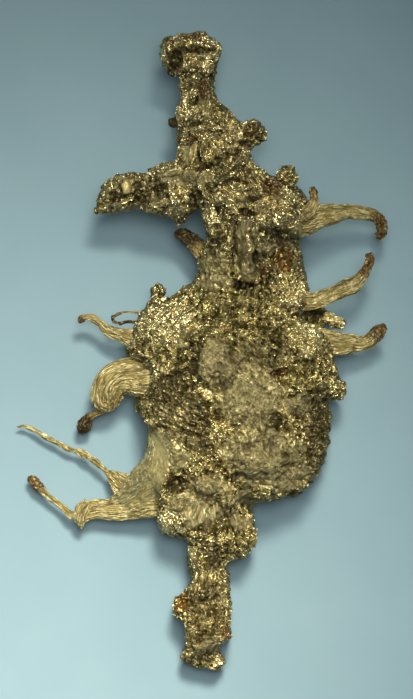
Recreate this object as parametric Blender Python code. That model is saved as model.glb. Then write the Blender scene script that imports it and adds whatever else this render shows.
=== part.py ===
"""Native silver specimen, lying on its flat back.

A crystalline silver mass branches into a flared stem, a club-shaped arm and a rough stalk, and
striated horns and wires of silver have grown out of its edges. +X is right, +Y points to the head
of the stem, +Z is up, and the origin is on the ground under the middle of the specimen.
"""

import itertools

import bpy
import numpy as np

# Driving dimensions. The tables of this file are in millimetres, and MM turns them to metres.
MM = 0.001
LENGTH = 69.6
HALF_LENGTH = LENGTH / 2
GAP = 0.3
FORK_TOP = 21.2
FORK_FOOT = -21.9
STEM_FOOT = FORK_TOP + GAP
STALK_TOP = FORK_FOOT - GAP

# Crystalline skin of the mass: two sizes of lumps, each (cell size, height).
COARSE_LUMPS = (2.6, 0.7)
FINE_LUMPS = (1.3, 0.42)

# Large odd numbers that scramble a lattice corner into a value, the same on every run.
HASH_AXES = np.array((374761393, 668265263, 1440662683))
HASH_SEED = 974634777
HASH_STIR = 1274126177
HASH_MASK = 0xFFFFFFFF

# A trunk's section is an oval with squarer corners than an ellipse: |x|^n + |z|^n = 1.
SECTION_POWER = 2.5
TOP_SHARE = 0.6

# Each trunk: outlines and profiles as (y, value), then lumps and pits as (x, y, radius, height).
TRUNKS = {
    "main_mass": {
        "left": [
            (FORK_FOOT, -1.2), (-20.7, -1.4), (-20.2, -2.8), (-19.5, -4.1), (-18.6, -4.4), (-17.1, -4.5),
            (-16.6, -5.5), (-16.2, -7.6), (-15.6, -8.2), (-14.9, -8.1), (-14.0, -7.5), (-13.1, -6.6),
            (-11.6, -5.6), (-9.8, -5.6), (-8.1, -5.9), (-7.2, -6.6), (-6.3, -6.9), (-5.2, -6.6),
            (-3.9, -5.5), (-1.4, -5.9), (-0.6, -6.6), (0.3, -7.1), (2.5, -7.0), (3.6, -6.8),
            (4.5, -6.2), (5.4, -5.4), (6.1, -3.6), (7.0, -1.7), (8.5, -0.3), (10.2, 0.3),
            (12.7, 0.7), (14.6, 0.3), (16.0, 0.0), (17.4, -1.6), (19.2, -2.8), (FORK_TOP, -2.2),
        ],
        "right": [
            (FORK_FOOT, 5.5), (-21.3, 6.0), (-18.6, 6.0), (-17.1, 5.7), (-16.6, 6.0), (-15.9, 8.8),
            (-15.5, 10.6), (-14.0, 11.9), (-12.4, 13.2), (-9.8, 13.8), (-7.2, 14.4), (-5.2, 14.3),
            (-4.6, 15.4), (-3.9, 15.9), (-3.0, 15.5), (-1.4, 14.9), (0.3, 14.8), (1.4, 14.2),
            (2.4, 13.0), (3.0, 11.6), (3.9, 10.7), (5.2, 11.2), (7.3, 11.6), (8.5, 11.3),
            (10.2, 10.5), (12.7, 11.2), (14.6, 12.3), (15.7, 12.4), (16.8, 12.2), (17.9, 11.0),
            (18.8, 9.6), (19.9, 6.9), (FORK_TOP, 5.7),
        ],
        "top": [
            (FORK_FOOT, 6.4), (-17.0, 8.2), (-14.0, 9.4), (-10.0, 10.4), (-5.0, 10.8), (0.0, 10.4),
            (4.0, 9.9), (7.8, 9.6), (10.0, 10.4), (12.2, 11.6), (14.5, 13.6), (17.0, 14.0),
            (19.0, 13.0), (FORK_TOP, 11.6),
        ],
        "bottom": [
            (FORK_FOOT, 0.6), (-18.0, 0.6), (-15.0, -0.2), (-11.0, -1.3), (-3.0, -1.3), (1.0, -0.4),
            (5.0, 0.9), (8.0, 1.6), (11.0, 1.4), (13.5, 0.4), (16.0, 0.4), (19.0, 3.0), (FORK_TOP, 5.0),
        ],
        "rows": 42,
        "around": 32,
        "flat_ends": (True, True),
        "bumps": [
            (9.9, 15.5, 2.1, 1.2), (3.9, 15.9, 1.5, 0.8), (5.5, 19.0, 1.4, 0.8), (4.5, 13.2, 1.2, 1.0),
            (4.6, 10.6, 1.2, 1.0), (-2.4, 2.5, 2.6, 0.8), (1.4, -0.8, 2.0, 1.1), (6.0, -5.2, 2.8, 1.2),
            (9.9, -5.2, 1.6, 0.6), (7.1, -12.9, 3.2, 0.9), (-3.3, -18.4, 1.6, 0.9), (4.4, -20.6, 1.4, 0.7),
            (8.8, 12.4, 1.9, -2.6), (4.8, 7.6, 1.2, -1.9), (0.9, 14.5, 1.2, -1.5), (-2.6, -2.4, 1.6, -1.0),
            (-0.8, -1.9, 1.1, -0.8), (0.5, -10.4, 1.1, -0.9), (8.7, -7.8, 1.1, -0.9),
            (-1.9, -14.6, 1.3, -1.0), (4.4, -13.8, 1.1, -0.8), (1.5, -20.4, 1.2, -1.2),
        ],
    },
    "upper_stem": {
        "left": [
            (STEM_FOOT, -2.2), (23.6, -2.1), (25.4, -1.9), (28.9, -2.3), (30.2, -2.6), (31.0, -3.6),
            (32.2, -4.4), (33.0, -4.4), (33.9, -4.0), (34.4, -3.5), (HALF_LENGTH, -2.2),
        ],
        "right": [
            (STEM_FOOT, 5.6), (23.0, 4.9), (24.5, 4.3), (25.8, 3.1), (26.7, 2.5), (28.9, 1.5),
            (30.8, 1.3), (32.2, 1.8), (33.0, 1.9), (33.8, 1.4), (34.4, 0.6), (HALF_LENGTH, -0.2),
        ],
        "top": [
            (STEM_FOOT, 11.5), (25.0, 10.4), (28.0, 9.4), (30.0, 9.2), (32.0, 10.4), (33.5, 10.2),
            (HALF_LENGTH, 8.6),
        ],
        "bottom": [
            (STEM_FOOT, 5.0), (25.0, 4.8), (28.0, 5.0), (30.0, 5.2), (32.0, 4.4), (33.5, 5.0),
            (HALF_LENGTH, 6.6),
        ],
        "rows": 17,
        "around": 18,
        "flat_ends": (True, False),
        "bumps": [
            (0.0, 22.8, 1.5, 0.7), (2.4, 24.2, 1.3, 0.6), (-2.8, 31.9, 1.3, -1.5), (0.3, 31.9, 1.3, -0.8),
        ],
    },
    "lower_stalk": {
        "left": [
            (-HALF_LENGTH, -0.8), (-34.0, -1.7), (-31.6, -1.8), (-29.6, -2.0), (-28.8, -2.7), (-27.9, -3.1),
            (-27.2, -2.9), (-26.3, -2.2), (-25.6, -1.0), (-23.2, -1.4), (STALK_TOP, -1.2),
        ],
        "right": [
            (-HALF_LENGTH, 1.8), (-34.0, 2.4), (-32.1, 2.5), (-31.5, 3.3), (-29.0, 3.3), (-27.2, 3.1),
            (-25.0, 3.2), (-23.3, 3.4), (STALK_TOP, 5.2),
        ],
        "top": [
            (-HALF_LENGTH, 3.6), (-33.0, 5.0), (-30.0, 5.6), (-27.0, 5.4), (-24.0, 5.8), (STALK_TOP, 6.2),
        ],
        "bottom": [
            (-HALF_LENGTH, 1.2), (-34.0, 0.3), (-32.0, -0.2), (-28.0, -0.2), (-25.0, 0.3),
            (STALK_TOP, 0.5),
        ],
        "rows": 16,
        "around": 18,
        "flat_ends": (False, True),
        "bumps": [
            (-2.0, -27.4, 1.3, 0.7), (1.5, -29.0, 1.4, 0.6), (1.5, -23.4, 1.2, -1.2),
            (1.0, -26.8, 1.0, -0.8),
        ],
    },
}

# Knobs fused to a trunk: (x, y, z), then the half sizes along X, Y and Z.
KNOBS = {
    "upper_stem": [((5.9, 23.9, 8.4), (1.5, 1.35, 1.4))],
    "main_mass": [
        ((9.5, 18.8, 9.6), (1.25, 1.4, 1.4)),
        ((-4.7, 6.0, 4.4), (0.8, 1.3, 1.1)),
        ((-7.2, 0.2, 3.4), (1.3, 0.7, 0.8)),
        ((15.2, -4.0, 5.4), (1.1, 1.0, 1.1)),
    ],
}

KNOB_RINGS = 8
KNOB_AROUND = 10
KNOB_POLE = 0.12  # radians between a pole and the first ring

# Crystals with flat faces, fused to the top of each trunk: one on every so many rings and columns,
# with its half size and the least that the surface there faces up.
CRYSTAL_STEP = {"main_mass": (4, 4), "upper_stem": (4, 5), "lower_stalk": (4, 5)}
CRYSTAL_HALF_SIZE = (0.5, 0.85)
CRYSTAL_FACES_UP = 0.72

# Each branch: stations (x, y, z, width, thickness) from its root, which starts inside what it grew
# from, to its tip, then the node that it grew from and the number of its lengthwise ridges.
BRANCHES = {
    "side_arm": {
        "stations": [
            (0.4, 18.4, 8.4, 4.6, 4.8), (-1.1, 18.4, 8.4, 5.0, 5.2), (-2.5, 17.9, 8.3, 5.7, 5.3),
            (-3.9, 18.0, 8.2, 5.1, 5.0), (-5.5, 17.7, 8.0, 4.7, 4.6), (-6.8, 18.2, 7.8, 3.5, 4.0),
            (-8.3, 17.8, 7.6, 3.3, 3.8), (-9.7, 17.1, 7.3, 3.3, 3.3), (-10.8, 16.5, 7.1, 2.5, 2.5),
            (-11.7, 15.9, 7.0, 1.2, 1.2),
        ],
        "grown_from": "main_mass",
        "rings": 14,
        "around": 14,
        "ridges": 0,
        "lumpy": True,
    },
    "horn_right_upper": {
        "stations": [
            (10.2, 14.2, 8.2, 3.3, 2.4), (11.8, 14.5, 8.0, 3.1, 2.1), (13.2, 14.9, 7.6, 2.7, 1.8),
            (14.9, 15.2, 7.0, 2.1, 1.5), (16.5, 15.4, 6.3, 1.65, 1.3), (17.8, 15.3, 5.8, 1.5, 1.2),
            (18.9, 15.1, 5.4, 1.35, 1.1), (19.7, 14.4, 5.0, 1.2, 1.0), (19.9, 13.3, 4.7, 1.1, 1.0),
            (19.6, 12.3, 4.5, 0.8, 0.7),
        ],
        "grown_from": "main_mass",
        "rings": 15,
        "around": 12,
        "ridges": 6,
    },
    "horn_right_middle": {
        "stations": [
            (9.4, 5.4, 5.4, 2.2, 2.0), (11.0, 5.5, 5.5, 2.1, 1.8), (12.7, 5.7, 5.5, 1.9, 1.5),
            (14.3, 6.3, 5.6, 1.85, 1.4), (15.7, 6.9, 5.9, 1.85, 1.3), (16.8, 7.4, 6.3, 1.75, 1.2),
            (17.6, 8.1, 6.7, 1.5, 1.1), (18.2, 9.1, 7.0, 1.0, 0.9), (18.6, 10.1, 7.2, 0.95, 0.9),
            (18.4, 10.9, 7.2, 1.1, 0.9),
        ],
        "grown_from": "main_mass",
        "rings": 15,
        "around": 12,
        "ridges": 6,
    },
    "horn_right_lower": {
        "stations": [
            (12.2, 1.2, 4.6, 2.9, 2.4), (14.3, 1.0, 4.5, 2.8, 2.2), (15.6, 0.9, 4.4, 2.6, 1.9),
            (16.7, 1.0, 4.2, 2.1, 1.6), (17.6, 0.9, 4.0, 1.75, 1.4), (18.5, 1.2, 4.0, 1.7, 1.3),
            (19.1, 1.7, 4.2, 1.6, 1.3), (19.7, 2.4, 4.6, 1.5, 1.2), (20.3, 2.8, 5.0, 1.0, 0.9),
        ],
        "grown_from": "main_mass",
        "rings": 13,
        "around": 12,
        "ridges": 6,
    },
    "spur_right": {
        "stations": [
            (12.0, 1.9, 3.7, 1.6, 1.6), (12.3, 3.0, 3.8, 1.8, 1.6), (12.9, 3.9, 3.9, 1.8, 1.5),
            (14.0, 3.9, 3.9, 1.2, 1.1), (14.8, 3.5, 3.8, 1.2, 1.1), (15.5, 3.4, 3.8, 1.5, 1.3),
            (16.1, 3.5, 3.8, 0.9, 0.8),
        ],
        "grown_from": "main_mass",
        "rings": 11,
        "around": 8,
        "ridges": 0,
        "lumpy": True,
    },
    "ram_horn": {
        "stations": [
            (-4.2, -2.9, 4.6, 4.3, 3.2), (-5.4, -2.8, 4.6, 4.3, 3.1), (-6.6, -2.8, 4.6, 4.2, 3.0),
            (-7.7, -2.6, 4.6, 4.1, 2.8), (-8.7, -2.8, 4.5, 3.9, 2.6), (-9.7, -3.5, 4.4, 3.8, 2.4),
            (-10.1, -4.4, 4.2, 3.7, 2.2), (-10.2, -5.4, 4.0, 3.3, 1.9), (-10.0, -6.3, 3.8, 2.3, 1.2),
        ],
        "grown_from": "main_mass",
        "rings": 13,
        "around": 14,
        "ridges": 7,
    },
    "ram_horn_tail": {
        "stations": [
            (-10.2, -5.9, 3.6, 0.8, 0.7), (-11.3, -6.7, 3.2, 0.8, 0.7), (-12.0, -7.0, 2.9, 0.8, 0.7),
            (-12.6, -7.4, 2.6, 0.8, 0.7), (-13.1, -7.9, 2.3, 0.75, 0.7), (-13.2, -8.5, 2.0, 0.7, 0.6),
            (-12.8, -8.9, 1.8, 0.65, 0.6), (-12.3, -8.8, 1.6, 0.6, 0.5),
        ],
        "grown_from": "ram_horn",
        "rings": 13,
        "around": 6,
        "ridges": 0,
    },
    "horn_left_lower": {
        "stations": [
            (-3.0, -16.2, 3.0, 2.9, 1.9), (-5.0, -16.6, 2.9, 2.8, 1.8), (-6.2, -16.9, 2.8, 2.6, 1.6),
            (-7.8, -17.2, 2.7, 2.5, 1.4), (-9.9, -17.3, 2.6, 2.3, 1.3), (-11.6, -17.3, 2.5, 2.25, 1.2),
            (-12.5, -17.5, 2.4, 2.2, 1.1), (-13.2, -17.8, 2.3, 2.1, 1.0), (-13.6, -18.1, 2.2, 1.3, 0.8),
        ],
        "grown_from": "main_mass",
        "rings": 12,
        "around": 12,
        "ridges": 6,
    },
    "horn_left_tail": {
        "stations": [
            (-13.0, -17.7, 2.2, 0.8, 0.6), (-14.1, -17.9, 2.0, 0.75, 0.6), (-14.9, -17.2, 1.9, 0.75, 0.6),
            (-15.6, -16.6, 1.8, 0.75, 0.6), (-16.5, -16.0, 1.7, 0.75, 0.65), (-17.2, -15.3, 1.7, 0.9, 0.8),
            (-17.8, -14.7, 1.7, 1.1, 0.9), (-18.4, -14.0, 1.6, 1.0, 0.8), (-18.7, -13.5, 1.5, 0.5, 0.4),
        ],
        "grown_from": "horn_left_lower",
        "rings": 12,
        "around": 6,
        "ridges": 3,
    },
    "wire_left_long": {
        "stations": [
            (-6.6, -15.0, 2.6, 1.8, 1.0), (-8.2, -14.6, 2.5, 1.6, 0.9), (-9.0, -14.2, 2.4, 1.2, 0.8),
            (-9.6, -13.8, 2.3, 0.9, 0.7), (-10.7, -12.9, 2.2, 0.65, 0.6), (-11.3, -12.3, 2.1, 0.7, 0.6),
            (-12.2, -11.5, 2.0, 0.85, 0.6), (-13.4, -10.9, 1.8, 0.65, 0.5), (-14.5, -10.6, 1.7, 0.6, 0.5),
            (-15.4, -10.1, 1.6, 0.65, 0.5), (-17.2, -9.2, 1.5, 0.55, 0.45), (-18.2, -8.6, 1.4, 0.5, 0.4),
            (-19.7, -7.9, 1.3, 0.4, 0.35), (-20.5, -8.0, 1.2, 0.25, 0.25),
        ],
        "grown_from": "main_mass",
        "rings": 22,
        "around": 6,
        "ridges": 0,
    },
    "wire_left_upper": {
        "stations": [
            (-5.2, 1.3, 4.2, 2.2, 1.6), (-6.6, 1.7, 4.1, 1.8, 1.3), (-7.7, 1.9, 4.0, 1.4, 1.0),
            (-8.8, 2.1, 3.9, 1.1, 0.9), (-9.7, 2.3, 3.8, 1.1, 0.85), (-10.3, 2.6, 3.8, 1.1, 0.85),
            (-11.0, 3.3, 3.9, 1.05, 0.8), (-11.6, 3.7, 4.0, 1.0, 0.8), (-12.3, 4.0, 4.0, 0.9, 0.75),
            (-13.0, 3.9, 3.9, 0.8, 0.7), (-13.3, 3.4, 3.8, 0.6, 0.5),
        ],
        "grown_from": "main_mass",
        "rings": 15,
        "around": 8,
        "ridges": 4,
    },
    "wire_loop": {
        "stations": [
            (-5.4, 3.9, 4.8, 0.36, 0.36), (-7.1, 4.35, 4.8, 0.34, 0.34), (-8.1, 4.4, 4.8, 0.34, 0.34),
            (-8.9, 4.2, 4.8, 0.34, 0.34), (-9.5, 3.85, 4.8, 0.34, 0.34), (-9.5, 3.4, 4.8, 0.34, 0.34),
            (-9.0, 3.2, 4.8, 0.34, 0.34), (-8.0, 3.3, 4.8, 0.34, 0.34), (-7.0, 3.3, 4.8, 0.34, 0.34),
            (-5.4, 3.1, 4.8, 0.36, 0.36),
        ],
        "grown_from": "main_mass",
        "rings": 20,
        "around": 6,
        "ridges": 0,
    },
    "neck_spur": {
        "stations": [
            (2.4, 11.4, 5.2, 1.7, 1.5), (0.7, 12.0, 5.0, 1.5, 1.4), (-0.4, 12.6, 4.8, 1.4, 1.2),
            (-1.4, 12.9, 4.6, 1.25, 1.1), (-2.3, 13.0, 4.4, 1.05, 0.9), (-3.0, 12.8, 4.2, 0.6, 0.6),
        ],
        "grown_from": "main_mass",
        "rings": 9,
        "around": 10,
        "ridges": 5,
    },
    "stem_spur": {
        "stations": [
            (-0.8, 26.0, 7.4, 1.0, 0.9), (-2.2, 25.5, 7.2, 0.85, 0.8), (-2.75, 25.1, 7.1, 0.75, 0.7),
            (-3.4, 24.7, 7.0, 0.45, 0.4),
        ],
        "grown_from": "upper_stem",
        "rings": 7,
        "around": 8,
        "ridges": 0,
    },
    "shoulder_wire": {
        "stations": [
            (11.4, 14.8, 9.8, 1.0, 0.8), (12.4, 15.7, 10.2, 0.9, 0.7), (12.65, 16.6, 10.3, 0.6, 0.55),
            (12.6, 17.3, 10.2, 0.55, 0.5), (12.4, 18.0, 10.0, 0.35, 0.35),
        ],
        "grown_from": "main_mass",
        "rings": 8,
        "around": 6,
        "ridges": 0,
    },
}
RIDGE_DEPTH = 0.11  # how far a ridge stands proud, as a share of the half width

METALLIC = 0.9
ROUGHNESS = 0.4

# Colours are linear values: granular silver, the brighter striated silver, and the brown tarnish.
GRANULAR = (0.32, 0.29, 0.15, 1.0)
STRIATED = (0.46, 0.40, 0.20, 1.0)
TARNISHED = (0.17, 0.12, 0.06, 1.0)
COLOURS = {
    "main_mass": GRANULAR,
    "upper_stem": GRANULAR,
    "lower_stalk": GRANULAR,
    "side_arm": GRANULAR,
    "neck_spur": TARNISHED,
    "stem_spur": TARNISHED,
}


def remove_all_objects():
    for item in list(bpy.data.objects):
        bpy.data.objects.remove(item)


def lattice_value(corner, seed):
    """A fixed value from -1 to 1 for each whole-number corner of the noise lattice."""
    mixed = (corner @ HASH_AXES + seed * HASH_SEED) & HASH_MASK
    mixed = ((mixed ^ (mixed >> 13)) * HASH_STIR) & HASH_MASK
    return (mixed ^ (mixed >> 16)) / 2**31 - 1.0


def noise(points, size, seed):
    """Smooth noise from -1 to 1: the lattice values of the cell's eight corners, blended."""
    cell = points / size
    base = np.floor(cell).astype(np.int64)
    share = cell - base
    share = share * share * (3 - 2 * share)
    total = np.zeros(points.shape[:-1])
    for corner in itertools.product((0, 1), repeat=3):
        weight = np.prod(np.where(corner, share, 1 - share), axis=-1)
        total += weight * lattice_value(base + np.array(corner), seed)
    return total


def profile(knots, at):
    """The value at each place, on a smooth curve through the knots, each sloped by its neighbours."""
    place, value = np.array(knots, float).T
    slope = np.gradient(value, place)
    first = np.clip(np.searchsorted(place, at) - 1, 0, len(place) - 2)
    span = place[first + 1] - place[first]
    t = np.clip((at - place[first]) / span, 0, 1)
    return (
        (1 + 2 * t) * (1 - t) ** 2 * value[first]
        + t * (1 - t) ** 2 * span * slope[first]
        + t**2 * (3 - 2 * t) * value[first + 1]
        - t**2 * (1 - t) * span * slope[first + 1]
    )


def surface_normals(grid):
    """Outward unit normals of a grid of rings: the step along the rings crossed with the step around."""
    along = np.gradient(grid, axis=0)
    around = np.roll(grid, -1, axis=1) - np.roll(grid, 1, axis=1)
    normal = np.cross(along, around)
    return normal / np.maximum(np.linalg.norm(normal, axis=-1, keepdims=True), 1e-9)


def roughened(grid):
    """The grid with the two sizes of crystalline lumps pushed out along its normals."""
    height = sum(
        tall * noise(grid, size, seed) for seed, (size, tall) in enumerate((COARSE_LUMPS, FINE_LUMPS))
    )
    return grid + surface_normals(grid) * height[..., None]


def bumped(grid, bumps):
    """The grid with round lumps and pits on its upper side: height * (1 - d^2)^2 along the normal."""
    normal = surface_normals(grid)
    facing_up = np.clip(normal[..., 2], 0, 1)
    rise = np.zeros(grid.shape[:2])
    for x, y, radius, height in bumps:
        far = ((grid[..., 0] - x) ** 2 + (grid[..., 1] - y) ** 2) / radius**2
        rise += height * np.clip(1 - far, 0, 1) ** 2 * facing_up
    return grid + normal * rise[..., None]


def trunk_grid(spec):
    """Rings of a trunk along Y: each an oval between its outlines and its top and bottom profiles."""
    first, last = spec["left"][0][0], spec["left"][-1][0]
    y = np.linspace(first, last, spec["rows"])[:, None]
    turn = np.arange(spec["around"]) / spec["around"]
    over = np.pi * turn / TOP_SHARE
    under = np.pi + np.pi * (turn - TOP_SHARE) / (1 - TOP_SHARE)
    angle = np.where(turn < TOP_SHARE, over, under)[None, :]
    left, right = profile(spec["left"], y), profile(spec["right"], y)
    low, high = profile(spec["bottom"], y), profile(spec["top"], y)
    across, upward = np.cos(angle), np.sin(angle)
    x = (left + right) / 2 + (right - left) / 2 * np.sign(across) * np.abs(across) ** (2 / SECTION_POWER)
    z = (low + high) / 2 + (high - low) / 2 * np.sign(upward) * np.abs(upward) ** (2 / SECTION_POWER)
    grid = np.stack([x, np.broadcast_to(y, x.shape), z], axis=-1)
    grid = roughened(bumped(grid, spec["bumps"]))
    for ring, flat in zip((0, -1), spec["flat_ends"]):
        if flat:
            grid[ring, :, 1] = y[ring]
    grid[..., 1] = np.clip(grid[..., 1], first, last)
    grid[..., 2] = np.maximum(grid[..., 2], 0)
    return grid


def branch_line(stations, count):
    """Stations read at even steps along a smooth curve through the given ones."""
    stations = np.array(stations, float)
    step = np.linalg.norm(np.diff(stations[:, :3], axis=0), axis=1)
    reach = np.concatenate([[0], np.cumsum(step)])
    at = np.linspace(0, reach[-1], count)
    return np.stack([profile(np.stack([reach, column], axis=1), at) for column in stations.T], axis=1)


def branch_grid(spec):
    """Rings of a branch: ovals across its line, level in their width, with lengthwise ridges."""
    line = branch_line(spec["stations"], spec["rings"])
    centre, wide, thick = line[:, :3], line[:, 3], line[:, 4]
    heading = np.gradient(centre, axis=0)
    heading /= np.linalg.norm(heading, axis=1, keepdims=True)
    side = np.cross(heading, (0, 0, 1))
    side /= np.linalg.norm(side, axis=1, keepdims=True)
    rise = np.cross(side, heading)
    angle = 2 * np.pi * np.arange(spec["around"]) / spec["around"]
    ridge = 1 + RIDGE_DEPTH * np.cos(spec["ridges"] * angle) * (spec["ridges"] > 0)
    grid = (
        centre[:, None]
        + side[:, None] * (wide[:, None] / 2 * np.cos(angle) * ridge)[..., None]
        + rise[:, None] * (thick[:, None] / 2 * np.sin(angle) * ridge)[..., None]
    )
    if spec.get("lumpy"):
        grid = roughened(grid)
    return grid


def grown(grid, by):
    """The grid moved outward by a distance, and longer by it at both ends."""
    larger = grid + surface_normals(grid) * by
    for end, inner in ((0, 1), (-1, -2)):
        away = grid[end].mean(axis=0) - grid[inner].mean(axis=0)
        larger[end] += away / np.linalg.norm(away) * by
    return larger


def closed_mesh(name, points, faces, shown):
    """An object of these points and faces. One that is not shown only cuts or adds to another."""
    mesh = bpy.data.meshes.new(name)
    mesh.from_pydata((points * MM).tolist(), [], faces)
    mesh.update()
    body = bpy.data.objects.new(name, mesh)
    if not shown:
        body.hide_render = True
        body.display_type = "WIRE"
    bpy.context.scene.collection.objects.link(body)
    return body


def solid(name, grid, shown=True):
    """One closed mesh from a grid of rings: its side faces, and a fan of triangles on each end."""
    rings, around = grid.shape[:2]
    first = np.arange(around)
    following = np.roll(first, -1)
    base = np.arange(rings - 1)[:, None] * around
    sides = np.stack(
        [base + first, base + around + first, base + around + following, base + following], axis=-1
    )
    start, end = rings * around, rings * around + 1
    last = start - around
    start_fan = np.stack([np.full(around, start), first, following], axis=-1)
    end_fan = np.stack([np.full(around, end), last + following, last + first], axis=-1)
    points = np.vstack([grid.reshape(-1, 3), grid[0].mean(axis=0), grid[-1].mean(axis=0)])
    faces = sides.reshape(-1, 4).tolist() + start_fan.tolist() + end_fan.tolist()
    return closed_mesh(name, points, faces, shown)


def knob_grid(centre, half_sizes):
    """Rings of a rough ball: an ellipsoid of stacked circles, roughened like the mass."""
    tilt = np.linspace(KNOB_POLE, np.pi - KNOB_POLE, KNOB_RINGS)[:, None]
    angle = 2 * np.pi * np.arange(KNOB_AROUND)[None, :] / KNOB_AROUND
    ball = np.stack(
        [np.sin(tilt) * np.cos(angle), np.sin(tilt) * np.sin(angle), np.cos(tilt) + 0 * angle], axis=-1
    )
    return roughened(np.array(centre) + ball * np.array(half_sizes))


def crystal_cubes(grid, step):
    """Corners of small cubes, each turned its own way, half sunk in the grid's upper side."""
    inner = grid[2:-2]
    facing = surface_normals(grid)[2:-2, :, 2]
    rings, columns = (np.arange(0, size, hop) for size, hop in zip(inner.shape, step))
    rings, columns = (index.ravel() for index in np.meshgrid(rings, columns, indexing="ij"))
    chosen = facing[rings, columns] > CRYSTAL_FACES_UP
    centres = inner[rings[chosen], columns[chosen]]
    draw = np.random.default_rng(len(centres))
    half = draw.uniform(*CRYSTAL_HALF_SIZE, len(centres))
    turns = np.linalg.qr(draw.normal(size=(len(centres), 3, 3)))[0]
    turns *= np.linalg.det(turns)[:, None, None]
    corners = np.array(list(itertools.product((-1, 1), repeat=3)), float)
    return centres[:, None] + half[:, None, None] * (corners @ turns)


def crystal_helper(name, cubes):
    """The cubes as one helper, with their faces pointing out."""
    faces = np.array([(0, 1, 3, 2), (4, 6, 7, 5), (0, 4, 5, 1), (2, 3, 7, 6), (0, 2, 6, 4), (1, 5, 7, 3)])
    every = (faces[None] + 8 * np.arange(len(cubes))[:, None, None]).reshape(-1, 4)
    return closed_mesh(name, cubes.reshape(-1, 3), every.tolist(), shown=False)


def combine(body, other, operation):
    """A Boolean with the exact solver: UNION fuses other to body, DIFFERENCE cuts it away."""
    modifier = body.modifiers.new(f"{operation.lower()}_{other.name}", "BOOLEAN")
    modifier.operation = operation
    modifier.solver = "EXACT"
    modifier.object = other


def paint(body, colour):
    """Silver with the body's own colour."""
    material = bpy.data.materials.new(f"{body.name}_silver")
    material.use_nodes = True
    shader = material.node_tree.nodes["Principled BSDF"]
    shader.inputs["Base Color"].default_value = colour
    shader.inputs["Metallic"].default_value = METALLIC
    shader.inputs["Roughness"].default_value = ROUGHNESS
    body.data.materials.append(material)


def build_specimen():
    remove_all_objects()
    grids = {name: trunk_grid(spec) for name, spec in TRUNKS.items()}
    grids.update({name: branch_grid(spec) for name, spec in BRANCHES.items()})
    bodies = {name: solid(name, grid) for name, grid in grids.items()}
    for name, knobs in KNOBS.items():
        for number, (centre, half_sizes) in enumerate(knobs):
            knob = solid(f"{name}_knob_{number}", knob_grid(centre, half_sizes), shown=False)
            combine(bodies[name], knob, "UNION")
    for name, step in CRYSTAL_STEP.items():
        crystals = crystal_helper(f"{name}_crystals", crystal_cubes(grids[name], step))
        combine(bodies[name], crystals, "UNION")
    parents = sorted({spec["grown_from"] for spec in BRANCHES.values()})
    clearances = {
        name: solid(f"{name}_clearance", grown(grids[name], GAP), shown=False) for name in parents
    }
    for name, spec in BRANCHES.items():
        combine(bodies[name], clearances[spec["grown_from"]], "DIFFERENCE")
    for name, body in bodies.items():
        paint(body, COLOURS.get(name, STRIATED))


build_specimen()
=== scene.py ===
# %% [markdown]
# # Native silver specimen
# Silver that crystallizes in a vein grows as a rough lump of small crystals, and later as horns
# and hair-like wires that the lump squeezes out. This lesson dresses the solid model of one such
# specimen. It keeps the places of the solids, because what uses the part relies on them, and
# gives each one the fine surface that the solids are too coarse to hold.

# %% Load the solid model
import itertools

import bpy
import numpy as np
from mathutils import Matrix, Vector


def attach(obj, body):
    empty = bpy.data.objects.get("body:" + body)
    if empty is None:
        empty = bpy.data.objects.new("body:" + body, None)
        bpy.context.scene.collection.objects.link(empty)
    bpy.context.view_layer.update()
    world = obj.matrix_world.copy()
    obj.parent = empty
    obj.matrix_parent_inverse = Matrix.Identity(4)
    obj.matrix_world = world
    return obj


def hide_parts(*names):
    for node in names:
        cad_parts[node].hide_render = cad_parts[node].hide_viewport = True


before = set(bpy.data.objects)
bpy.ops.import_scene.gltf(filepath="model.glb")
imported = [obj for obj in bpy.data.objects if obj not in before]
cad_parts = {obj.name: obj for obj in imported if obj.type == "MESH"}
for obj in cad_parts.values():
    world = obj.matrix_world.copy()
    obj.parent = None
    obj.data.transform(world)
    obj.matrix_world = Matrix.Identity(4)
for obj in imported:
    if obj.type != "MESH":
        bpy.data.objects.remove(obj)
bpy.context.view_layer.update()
MM = 0.001  # every table below is in millimetres

# %% [markdown]
# The specimen was photographed from straight above, so the camera looks down. A long lens from
# far away keeps the high parts from looking bigger than the low ones. The picture is 413 by 699
# pixels and each pixel shows 0.11 mm, which fixes the lens once the height is chosen.

# %% Camera
PICTURE_HEIGHT = 699  # pixels
PIXEL = 0.11  # millimetres of the specimen in one pixel
VIEW_CENTRE = (0.7, 0.3)
CAMERA_HEIGHT = 1500.0
SENSOR = 36.0


def make_camera():
    """Lens length = sensor * distance / height of the view, because like triangles meet in the lens."""
    camera = bpy.data.cameras.new("camera")
    camera.sensor_width = SENSOR
    camera.lens = SENSOR * CAMERA_HEIGHT / (PICTURE_HEIGHT * PIXEL)
    holder = bpy.data.objects.new("camera", camera)
    holder.location = (VIEW_CENTRE[0] * MM, VIEW_CENTRE[1] * MM, CAMERA_HEIGHT * MM)
    bpy.context.scene.collection.objects.link(holder)
    bpy.context.scene.camera = holder
    print("lens:", round(camera.lens), "mm")


make_camera()

# %% [markdown]
# Every shader is a small graph of nodes. One function adds a node, so that each material below
# can be read from top to bottom. Colours are written as sRGB hex values, which are what a picture
# shows, and a renderer wants linear light.

# %% Colour and node helpers
def linear(hex_colour):
    """Linear light from sRGB: ((c + 0.055) / 1.055) ^ 2.4, or c / 12.92 for the darkest values."""
    c = np.array([int(hex_colour[i:i + 2], 16) / 255 for i in (1, 3, 5)])
    light = np.where(c <= 0.04045, c / 12.92, ((c + 0.055) / 1.055) ** 2.4)
    return (*light.tolist(), 1.0)


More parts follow.
